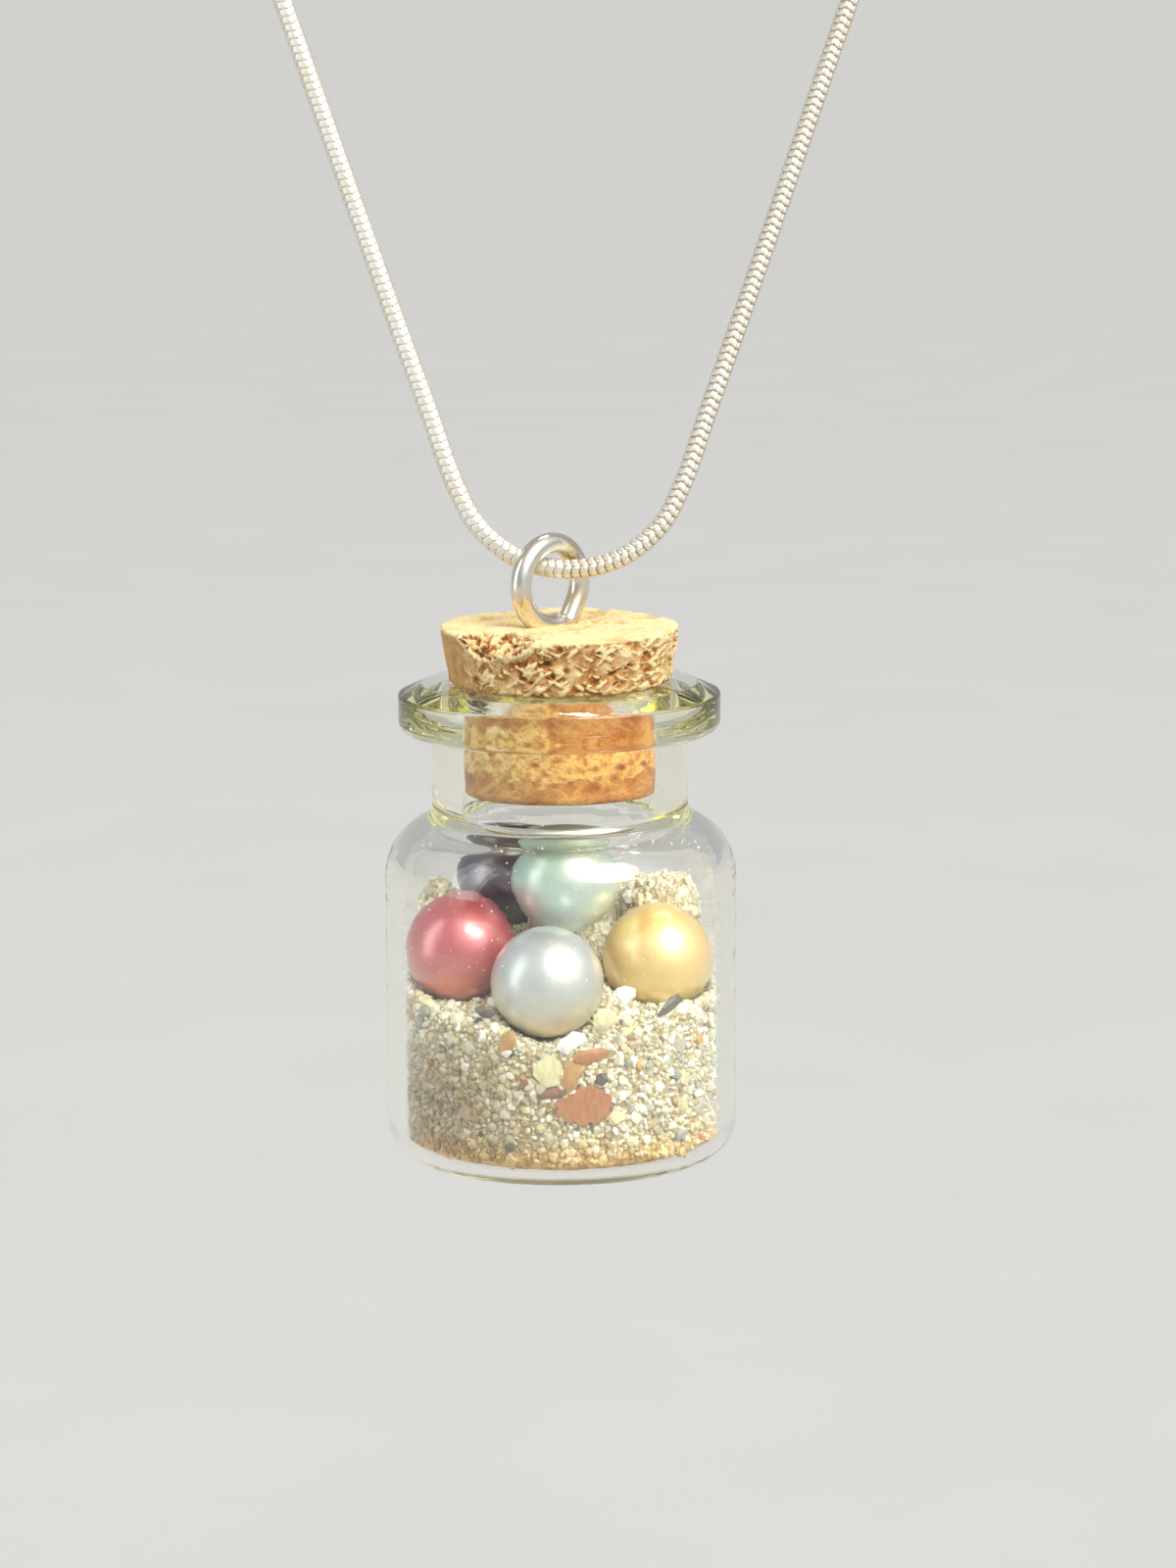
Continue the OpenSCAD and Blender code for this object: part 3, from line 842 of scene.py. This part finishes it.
def cork_level(g):
    """Level of the cork at each place, from 0 in a pit to 1 on a crest, and how rough it is there. It has
    slanted fibres and pits on its sides, a smoother skin on the left, and a torn hollow at the front, whose
    brown inside is partly painted shade in the recess, with a pale lip."""
    x, _, z = g.axes()
    lumps = g.noise(0.7, 3.0, 0.6)
    fray = g.higher(fibres(g, (0.2, 0.62, 0.1)), fibres(g, (-0.3, -0.5, 0.2), 1.4))
    pits = g.spread(g.cells(0.75, where=g.stretched((1, 1, 1.5))), 0.10, 0.32)
    broken = g.higher(g.times(g.spread(lumps, 0.36, 0.64, 0.10, 0.56), pits), g.times(fray, 0.80))
    skin = g.spread(g.noise(1.2, 3.0, 0.6, where=g.stretched((1, 1, 0.4))), 0.3, 0.7, 0.30, 0.52)

    above_rim = g.spread(z, BOTTLE_H - 0.2, BOTTLE_H + 0.4)
    off_left = g.spread(g.plus(x, g.noise(0.6, 2.0)), -CORK_R * 0.80, -CORK_R * 0.55)
    side = g.blend(above_rim, cork_in_neck(g, fray, pits), g.blend(off_left, skin, broken))
    on_top = g.spread(z, CORK_TOP - 0.22, CORK_TOP - 0.06)
    level = g.blend(on_top, side, cork_top(g))

    away = g.minus(g.vector("DISTANCE", {0: g.place, 1: tuple(HOLLOW)}, "Value"), HOLLOW_R)
    away = g.plus(away, g.spread(g.noise(1.3, 4.0, 0.65), 0.3, 0.7, -0.35, 0.35))
    hollow = g.spread(away, 0.06, 0.2, 1.0, 0.0)
    # Inside the hollow the level runs lower and browner: torn cork, partly painted shade in the recess
    frayed_and_shaded = g.plus(g.times(fray, 0.60), g.spread(lumps, 0.38, 0.62, -0.08, 0.28))
    lip = g.times(g.spread(away, 0.10, 0.25), g.spread(away, 0.35, 0.85, 1.0, 0.0))
    lip = g.times(lip, g.spread(g.noise(1.1, 3.0, 0.6), 0.32, 0.46, 0.55, 1.0))
    level = g.higher(g.blend(hollow, level, frayed_and_shaded), lip)
    return level, g.higher(above_rim, hollow)


def crumbled(g, mesh, crumb):
    """Breaks up the cork's surface by its level. Each place keeps where it was on the blank, from which the
    finish reads the same level again."""
    still_level, smooth_crumb = 0.62, 0.10
    g.place = g.add("GeometryNodeInputPosition").outputs[0]
    kept = g.add("GeometryNodeStoreNamedAttribute", {"Geometry": mesh, "Name": "blank", "Value": g.place},
                 data_type="FLOAT_VECTOR", domain="POINT")
    level, rough = cork_level(g)
    push = g.times(g.minus(level, still_level), g.spread(rough, 0.0, 1.0, smooth_crumb, crumb))
    normal = g.add("GeometryNodeInputNormal").outputs[0]
    offset = g.vector("SCALE", {0: normal, "Scale": push})
    return g.add("GeometryNodeSetPosition", {"Geometry": kept.outputs[0], "Offset": offset}).outputs[0]


def cork_blank():
    """The cork before it crumbles: a turned plug with the hollow broken out of its front edge."""
    neck_r, low = BORE_R - 2 * GAP, BOTTLE_H + GAP
    corners = [(0, CORK_FOOT, 0), (neck_r, CORK_FOOT, 0.5), (neck_r, BOTTLE_H - LIP_R, 0.2),
               (BORE_R + LIP_R, low, 0), (CORK_R - 0.55, low, 0), (CORK_R, CORK_TOP, 0.25), (0, CORK_TOP, 0)]
    plug = turned(rounded(corners), 96)
    bpy.ops.mesh.primitive_ico_sphere_add(subdivisions=4, radius=HOLLOW_R, location=HOLLOW)
    cutter = made()
    edit(cutter, "SELECT")
    bpy.ops.transform.vertex_random(offset=0.10, normal=1.0, seed=4)
    close()
    bite = plug.modifiers.new("Hollow", "BOOLEAN")
    bite.operation = "DIFFERENCE"
    bite.object = cutter
    apply_modifiers(plug)
    bpy.data.objects.remove(cutter)
    return plug


class NECKLACE_OT_cork(Operator):
    """Cork: a tapered plug with crumbling sides, a cracked top and a chip out of its front"""
    bl_idname = "necklace.cork"
    bl_label = "Cork"

    def execute(self, context):
        settings = context.scene.necklace_cork
        plug = cork_blank()
        voxel_grid(plug, 0.13)
        reshape(plug, "Crumbs", crumbled, mm(settings.crumb))
        apply_modifiers(plug)
        bpy.ops.object.shade_smooth()
        hand_in(plug, "cork_plug", cork_finish(settings), "cork", "cork")
        return {"FINISHED"}


# Bottle

def slope_at(r, inside):
    """Height of the shoulder's straight slope at a radius, inside the outer face by a thickness."""
    corner_up = SHOULDER_R * math.tan((math.radians(90) - SLOPE) / 2)
    return SIDE_TOP + corner_up + (BODY_R - r) * math.tan(SLOPE) - inside / math.cos(SLOPE)


class NECKLACE_OT_bottle(Operator):
    """Bottle: blown glass with a sloping shoulder, a short neck and a heavy bevelled rim"""
    bl_idname = "necklace.bottle"
    bl_label = "Glass bottle"

    def execute(self, context):
        settings = context.scene.necklace_bottle
        wall = mm(settings.wall)
        inner = BODY_R - wall
        base_r, base_thick, push_up, push_r, foot_r = 2.3, 0.9, 0.3, 5.5, 7.8
        neck_r, rim_r, rim_low, bevel_w, bevel_h = 8.0, 10.05, BOTTLE_H - 3, 1.45, 0.65
        outside = [(0, push_up, 0), (push_r, push_up / 2, 0), (foot_r, 0, 0), (BODY_R, 0, base_r),
                   (BODY_R, slope_at(BODY_R, 0), SHOULDER_R), (neck_r, slope_at(neck_r, 0), 1.0),
                   (neck_r, rim_low, 0.15), (rim_r, rim_low, 0.7), (rim_r, BOTTLE_H - bevel_h, 0.25),
                   (rim_r - bevel_w, BOTTLE_H, 0.35)]
        inside = [(BORE_R, BOTTLE_H, LIP_R), (BORE_R, slope_at(BORE_R, wall), 0.3),
                  (inner, slope_at(inner, wall), SHOULDER_R - wall), (inner, base_thick, base_r - wall),
                  (0, base_thick, 0)]
        glass = turned(rounded(outside + inside, 8), 144)
        bpy.ops.object.shade_smooth_by_angle(angle=math.radians(40))
        hand_in(glass, "glass_bottle", glass_finish(settings), "bottle", "glass")
        return {"FINISHED"}


# Sand

# Gap between the glass and the bed of sand, and how much further in the dusty wall and the grains lie
SAND_GAP, DUST_IN, GRAINS_IN = 0.02, 0.06, 0.08
# Height at which the dusty wall starts
DUST_FROM = 13

# Drifts of sand heaped behind the red and the gold pearl: the middle of each, and its reach each way
DRIFTS = [((-8.1, 3.3, 14.3), (1.6, 2.4, 3.0)), ((6.5, 4.3, 14.8), (3.1, 2.8, 2.7))]

# Layers of loose grains: least distance between two, most to a square millimetre, and width of a grain, with
# both lengths as shares of a usual grain's width, then the layer's own seed, and the lowest lean of a face
# that carries any. The dust clings to the glass above the sand.
LAYERS = {
    "sand_grains": (0.72, 14.0, 1.05, 0, -0.25),
    "sand_fines": (0.60, 14.0, 0.62, 20, -0.35),
    "sand_gravel": (1.7, 1.8, 1.6, 40, -0.3),
    "sand_dust": (0.5, 0.9, 0.21, 60, -2.0),
}

# Chips of shell and stone among the sand: place across and height in mm, size across and up in mm,
# turn in degrees and tone. A wide one is a shell. All lie against the front of the glass.
CHIPS = [
    (1.3, 5.2, 3.4, 2.2, 4, "shell"), (0.6, 7.2, 0.9, 2.0, 12, "amber"), (1.8, 8.4, 1.8, 0.8, -8, "shell"),
    (-2.2, 6.6, 0.6, 0.7, 20, "mauve"), (-0.6, 6.1, 1.6, 0.65, -10, "mauve"),
    (-0.7, 7.5, 1.6, 1.6, 30, "straw"), (0.6, 9.3, 1.7, 1.0, -25, "quartz"),
    (-3.2, 9.2, 0.9, 1.3, 25, "amber"), (6.4, 11.0, 1.8, 0.7, -32, "slate"),
    (-4.5, 11.0, 1.1, 0.6, 10, "slate"), (-8.0, 10.4, 0.9, 0.6, 0, "grey"), (-8.3, 9.5, 0.5, 0.9, 10, "grey"),
    (2.4, 6.9, 0.6, 0.8, -15, "slate"), (7.0, 2.7, 0.9, 0.7, 0, "grey"), (-4.2, 2.7, 0.4, 0.4, 0, "slate"),
    (-3.0, 2.65, 0.5, 0.5, 40, "slate"), (3.2, 4.4, 0.9, 0.8, 30, "straw"),
    (3.8, 12.0, 1.2, 1.1, 15, "quartz"), (2.6, 10.6, 1.3, 1.3, 40, "straw"), (6.8, 6.6, 0.6, 0.5, 0, "grey"),
    (4.0, 7.8, 0.5, 0.5, 0, "grey"),
]
CHIP_TONES = {
    "shell": (0.50, 0.24, 0.13), "amber": (0.56, 0.33, 0.15), "mauve": (0.30, 0.17, 0.14),
    "straw": (0.80, 0.75, 0.50), "quartz": (0.94, 0.93, 0.95), "slate": (0.17, 0.155, 0.15),
    "grey": (0.40, 0.41, 0.38),
}
CHIP_THICK, SHELL_WIDTH, SHELL_SIDES = 0.34, 2.5, 42


def pressed(g, mesh, wall_r):
    """Presses all that reaches past a radius flat against the glass there."""
    g.place = g.add("GeometryNodeInputPosition").outputs[0]
    flat = g.stretched((1, 1, 0))
    over = g.higher(g.minus(g.vector("LENGTH", {0: flat}, "Value"), wall_r), 0.0)
    back = g.vector("SCALE", {0: g.vector("NORMALIZE", {0: flat}), "Scale": g.times(over, -1.0)})
    return g.add("GeometryNodeSetPosition", {"Geometry": mesh, "Offset": back}).outputs[0]


def sand_heap(inset, wall_r):
    """A closed copy of the frame's sand with its drifts, drawn in a little so that grains can stand on it.
    Its foot stays on the glass."""
    heap = copy_of(frame["nodes"]["sand"])
    heap.parent = None
    for key in [k for k in heap.keys() if k.startswith("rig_")]:
        del heap[key]
    heap.matrix_world = Matrix.Scale(1 / MM, 4) @ Matrix.Translation(-BASE)
    apply_place()
    edit(heap, "SELECT")
    bpy.ops.mesh.remove_doubles(threshold=0.002)
    bpy.ops.mesh.customdata_custom_splitnormals_clear()
    close()
    drifts = []
    for middle, reach in DRIFTS:
        bpy.ops.mesh.primitive_ico_sphere_add(subdivisions=3, radius=1, location=middle, scale=reach)
        drifts.append(made())
        edit(drifts[-1], "SELECT")
        bpy.ops.transform.vertex_random(offset=0.25, uniform=0.5, seed=len(drifts))
        close()
    heap = joined([heap, *drifts])
    voxel_grid(heap, 0.4)
    reshape(heap, "Glass", pressed, wall_r)
    apply_modifiers(heap)
    edit(heap, "SELECT")
    bpy.ops.transform.shrink_fatten(value=-inset)
    pick_points(heap, lambda place: place.z < SAND_FOOT + 2 * FOOT_R)
    bpy.ops.transform.translate(value=(0, 0, -inset))
    close()
    return heap


def inner_wall(wall):
    """The glass's inner face above the sand, on which dust clings."""
    r = BODY_R - wall
    return turned(rounded([(r, DUST_FROM, 0), (r, slope_at(r, wall), SHOULDER_R - wall),
                           (BORE_R, slope_at(BORE_R, wall), 0.3), (BORE_R, CORK_FOOT - 0.3, 0)]), 48)


def grain_shapes(count):
    """A few broken grains, each a small ball knocked out of shape."""
    shapes = bpy.data.collections.new("grain shapes")
    bpy.context.scene.collection.children.link(shapes)
    for k in range(count):
        bpy.ops.mesh.primitive_ico_sphere_add(subdivisions=1, radius=0.5, location=(0, 0, 0))
        grain = made()
        edit(grain, "SELECT")
        bpy.ops.transform.resize(value=(1.0, 0.70 + 0.06 * k, 0.55 + 0.05 * k))
        bpy.ops.transform.vertex_random(offset=0.13, seed=k + 3)
        close()
        grain.users_collection[0].objects.unlink(grain)
        shapes.objects.link(grain)
    return shapes


def strewn(g, mesh, shapes, spacing, density, size, seed, steepest, wall_r):
    """Strews grains over a surface, gives each its own tone as the attribute grain, and presses the outermost
    flat against the glass. Faces whose normal leans lower than steepest stay bare."""
    facing = g.axes(g.add("GeometryNodeInputNormal").outputs[0])[2]
    not_under = g.math("GREATER_THAN", facing, steepest)
    points = g.add("GeometryNodeDistributePointsOnFaces",
                   {"Mesh": mesh, "Selection": not_under, "Distance Min": spacing, "Density Max": density,
                    "Seed": seed}, distribute_method="POISSON")
    pick = g.add("GeometryNodeCollectionInfo", {"Collection": shapes, "Separate Children": True})
    turn = g.add("FunctionNodeRandomValue", {0: (0, 0, 0), 1: (math.tau,) * 3, "Seed": seed + 1},
                 data_type="FLOAT_VECTOR").outputs[0]
    chances = [g.add("FunctionNodeRandomValue", {2: 0.0, 3: 1.0, "Seed": seed + k}, data_type="FLOAT")
               for k in (2, 5)]
    growth, tone = (chance.outputs[1] for chance in chances)
    scale = g.times(g.plus(g.math("POWER", growth, 2.2), 0.75), size)
    grains = g.add("GeometryNodeInstanceOnPoints",
                   {"Points": points.outputs[0], "Instance": pick.outputs[0], "Pick Instance": True,
                    "Rotation": turn, "Scale": scale})
    toned = g.add("GeometryNodeStoreNamedAttribute",
                  {"Geometry": grains.outputs[0], "Name": "grain", "Value": tone},
                  data_type="FLOAT", domain="INSTANCE")
    real = g.add("GeometryNodeRealizeInstances", {0: toned.outputs[0]})
    return pressed(g, real.outputs[0], wall_r)


def shell(across, up):
    """A flat piece of shell: a disc with a scalloped rim, cut off above and drawn out to the upper right."""
    bpy.ops.mesh.primitive_cylinder_add(vertices=SHELL_SIDES, radius=1, depth=1, location=(0, 0, 0))
    piece = made()
    edit(piece, "SELECT")
    bpy.ops.transform.rotate(value=math.radians(90), orient_axis="X", center_override=(0, 0, 0))
    pick_points(piece, lambda p: p.z > 0.5
                or round(math.atan2(p.x, -p.z) / math.tau * SHELL_SIDES) % 4 == 2)
    bpy.ops.transform.resize(value=(0.86, 1, 0.80))
    pick_points(piece, lambda p: p.z > 0.3 and p.x > -0.3)
    bpy.ops.transform.translate(value=(0.06, 0, 0.42))
    bpy.ops.mesh.select_all(action="SELECT")
    bpy.ops.mesh.bevel(offset=0.06, segments=2)
    bpy.ops.transform.resize(value=(across / 2, CHIP_THICK, up / 2))
    close()
    return piece


def stone(across, up, seed):
    """A flat stone: a ball knocked out of shape."""
    bpy.ops.mesh.primitive_ico_sphere_add(subdivisions=2, radius=0.5, location=(0, 0, 0))
    piece = made()
    edit(piece, "SELECT")
    bpy.ops.transform.vertex_random(offset=0.16, uniform=0.6, seed=seed)
    bpy.ops.transform.resize(value=(across * 1.1, CHIP_THICK, up * 1.1))
    close()
    return piece


def chip(across_at, height, across, up, turn, tone, seed, wall_r):
    """One chip of shell or stone, laid against the glass."""
    piece = shell(across, up) if across > SHELL_WIDTH else stone(across, up, seed)
    reach = wall_r - CHIP_THICK * 0.5
    around = math.asin(across_at / reach)
    piece.rotation_euler = Euler((0, math.radians(turn), around))
    piece.location = (across_at, -reach * math.cos(around), height)
    colour = piece.data.color_attributes.new("tone", "FLOAT_COLOR", "POINT")
    colour.data.foreach_set("color", [*CHIP_TONES[tone], 1.0] * len(piece.data.vertices))
    return piece


class NECKLACE_OT_sand(Operator):
    """Sand: a heaped bed under thousands of loose grains of mixed tones"""
    bl_idname = "necklace.sand"
    bl_label = "Sand"

    def execute(self, context):
        settings = context.scene.necklace_sand
        size = mm(settings.grain)
        wall_r = BODY_R - mm(context.scene.necklace_bottle.wall) - SAND_GAP
        bed = sand_heap(size * 0.55, wall_r)
        finish = grain_finish()
        shapes = grain_shapes(6)
        dusty = inner_wall(BODY_R - wall_r + DUST_IN)
        for name, (spacing, density, width, seed, steepest) in LAYERS.items():
            layer = copy_of(dusty if name == "sand_dust" else bed)
            reshape(layer, "Grains", strewn, shapes, size * spacing, density, size * width,
                    settings.seed + seed, steepest, wall_r - GRAINS_IN)
            apply_modifiers(layer)
            bpy.ops.object.shade_flat()
            hand_in(layer, name, finish, "sand", "sand")
        bpy.data.objects.remove(dusty)
        chips = joined([chip(*row, seed, wall_r) for seed, row in enumerate(CHIPS)])
        apply_place()
        reshape(chips, "Glass", pressed, wall_r)
        apply_modifiers(chips)
        bpy.ops.object.shade_smooth_by_angle(angle=math.radians(28))
        hand_in(chips, "sand_chips", chip_finish(), "sand", "sand")
        only(bed)
        bpy.ops.object.shade_smooth()
        hand_in(bed, "sand_bed", sand_bed_finish(), "sand", "sand")
        for grain in list(shapes.objects):
            bpy.data.objects.remove(grain)
        bpy.data.collections.remove(shapes)
        return {"FINISHED"}


# Pearls

# Second tint of each pearl, its foot colour, which is painted bounce light from the sand beneath, and the
# refractive index that gives its skin its lustre
PEARLS = {
    "white": ((0.72, 0.72, 0.70), (0.97, 0.82, 0.56), 2.0),
    "red": ((0.60, 0.07, 0.10), (1.0, 0.34, 0.23), 2.25),
    "gold": ((0.96, 0.73, 0.35), (0.94, 0.77, 0.36), 2.0),
    "aqua": ((0.62, 0.54, 0.52), (0.80, 1.0, 1.0), 2.0),
    "dark": ((0.16, 0.09, 0.16), (0.06, 0.03, 0.05), 2.0),
}


class NECKLACE_OT_pearls(Operator):
    """Pearls: five cultured pearls, not quite round, each in its own nacre"""
    bl_idname = "necklace.pearls"
    bl_label = "Pearls"

    def execute(self, context):
        settings = context.scene.necklace_pearls
        for seed, (name, looks) in enumerate(PEARLS.items(), 1):
            low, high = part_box("pearl_" + name)
            middle, radius = (low + high) / 2, mm(high.x - low.x) / 2
            bpy.ops.mesh.primitive_uv_sphere_add(segments=72, ring_count=36, radius=radius,
                                                 location=(0, 0, 0))
            pearl = made()
            edit(pearl, "SELECT")
            bpy.ops.transform.vertex_random(offset=0.03, normal=1.0, seed=seed)
            bpy.ops.mesh.vertices_smooth(factor=0.5, repeat=6)
            close()
            bpy.ops.object.shade_smooth()
            finish = nacre_finish(name + "_nacre", middle, getattr(settings, name), *looks)
            hand_in(pearl, "nacre_" + name, finish, "pearl_" + name, name + "_pearl", origin=middle)
        return {"FINISHED"}


# Stage

VIEW_PITCH, VIEW_ROLL = math.radians(10.22), math.radians(0.35)
VIEW_FROM = Vector((0.0021, -0.31516, 0.08032))
LENS = 117.7
FLOOR_W = 30
KEY_WAY = Vector((0.46, -0.53, 0.71))
GLASS_BOUNCES = 24

# Lamps beside and behind: place off the middle of the bottle, colour, and width and height, in metres
SOFT_LAMPS = {
    "side": ((-1.2, -0.5, 0.5), (0.90, 0.96, 1.0), (0.5, 1.4)),
    "back": ((0.17, 0.56, 1.05), (1.0, 1.0, 1.0), (0.35, 0.06)),
}

# Tone of the air by how nearly it lies towards the main lamp, from square to it to straight behind it
AIR_TONES = [
    (0.0, (0.455, 0.46, 0.475)), (0.55, (0.455, 0.46, 0.475)), (0.80, (0.85, 0.86, 0.88)),
    (0.93, (1.9, 1.88, 1.84)),
]


def lamp_at(kind, name, offset, power, colour):
    """A lamp set off from the middle of the bottle and aimed back at it."""
    middle = BASE + Vector((0, 0, 0.02))
    turn = (-Vector(offset)).to_track_quat("-Z", "Y").to_euler()
    bpy.ops.object.light_add(type=kind, location=middle + Vector(offset), rotation=turn)
    lamp = made()
    lamp.name = name + "_lamp"
    lamp.data.energy = power
    lamp.data.color = colour
    lamp.visible_camera = False
    return lamp.data


def studio_air():
    """Even pale light from all round, with a broad soft glow about the main lamp."""
    world = bpy.data.worlds.new("studio_air")
    world.use_nodes = True
    world.node_tree.nodes.clear()
    g = Graph(world.node_tree)
    way = g.add("ShaderNodeTexCoord").outputs["Generated"]
    toward = g.vector("DOT_PRODUCT", {0: way, 1: KEY_WAY.normalized()}, "Value")
    light = g.add("ShaderNodeBackground", {"Color": g.ramp(toward, AIR_TONES, "EASE"), "Strength": 1.0})
    g.add("ShaderNodeOutputWorld", {"Surface": light.outputs[0]})
    return world


class NECKLACE_OT_stage(Operator):
    """Stage: a pale floor, soft lamps and the camera"""
    bl_idname = "necklace.stage"
    bl_label = "Stage"

    def execute(self, context):
        scene = context.scene
        settings = scene.necklace_stage
        only(*scene.objects[:1])
        bpy.ops.mesh.primitive_plane_add(size=FLOOR_W, location=(0, 0, BASE.z - settings.drop))
        floor = made()
        apply_place()
        floor.name = "floor"
        floor.data.materials.append(floor_finish())
        key = lamp_at("SUN", "key", KEY_WAY, settings.key, (1.0, 0.985, 0.955))
        key.angle = settings.softness
        for name, (offset, colour, size) in SOFT_LAMPS.items():
            lamp = lamp_at("AREA", name, offset, getattr(settings, name), colour)
            lamp.shape = "RECTANGLE"
            lamp.size, lamp.size_y = size
        scene.world = studio_air()
        scene.view_settings.view_transform = "Standard"
        scene.cycles.max_bounces = GLASS_BOUNCES
        scene.cycles.glossy_bounces = GLASS_BOUNCES
        scene.cycles.transmission_bounces = GLASS_BOUNCES
        bpy.ops.object.camera_add(location=BASE + VIEW_FROM)
        camera = made()
        camera.rotation_euler = Euler((math.radians(90) - VIEW_PITCH, 0, 0))
        camera.rotation_euler.rotate(Matrix.Rotation(VIEW_ROLL, 3, "Y"))
        camera.data.lens = LENS
        camera.data.clip_start = 0.01
        bpy.context.scene.camera = camera
        return {"FINISHED"}


class NECKLACE_PT_panel(Panel):
    """Lists the pieces and their settings"""
    bl_idname = "NECKLACE_PT_panel"
    bl_label = "Charm necklace"
    bl_space_type = "VIEW_3D"
    bl_region_type = "UI"
    bl_category = "Necklace"

    def draw(self, context):
        for group in SETTINGS:
            box = self.layout.box()
            for name in SETTINGS[group].__annotations__:
                box.prop(getattr(context.scene, group), name)
        for operator in OPERATORS:
            self.layout.operator(operator.bl_idname)


SETTINGS = {
    "necklace_chain": ChainSettings,
    "necklace_eye": EyeSettings,
    "necklace_cork": CorkSettings,
    "necklace_bottle": BottleSettings,
    "necklace_sand": SandSettings,
    "necklace_pearls": PearlSettings,
    "necklace_stage": StageSettings,
}
OPERATORS = [NECKLACE_OT_stage, NECKLACE_OT_snake_chain, NECKLACE_OT_clasp, NECKLACE_OT_screw_eye,
             NECKLACE_OT_cork, NECKLACE_OT_bottle, NECKLACE_OT_sand, NECKLACE_OT_pearls]


def register():
    for cls in [*SETTINGS.values(), *OPERATORS, NECKLACE_PT_panel]:
        bpy.utils.register_class(cls)
    for group, cls in SETTINGS.items():
        setattr(bpy.types.Scene, group, PointerProperty(type=cls))


def unregister():
    for group in SETTINGS:
        delattr(bpy.types.Scene, group)
    for cls in reversed([*SETTINGS.values(), *OPERATORS, NECKLACE_PT_panel]):
        bpy.utils.unregister_class(cls)


def main():
    register()
    bpy.ops.necklace.stage()
    bpy.ops.necklace.snake_chain()
    bpy.ops.necklace.clasp()
    bpy.ops.necklace.screw_eye()
    bpy.ops.necklace.cork()
    bpy.ops.necklace.bottle()
    bpy.ops.necklace.sand()
    bpy.ops.necklace.pearls()


if __name__ == "__main__":
    main()
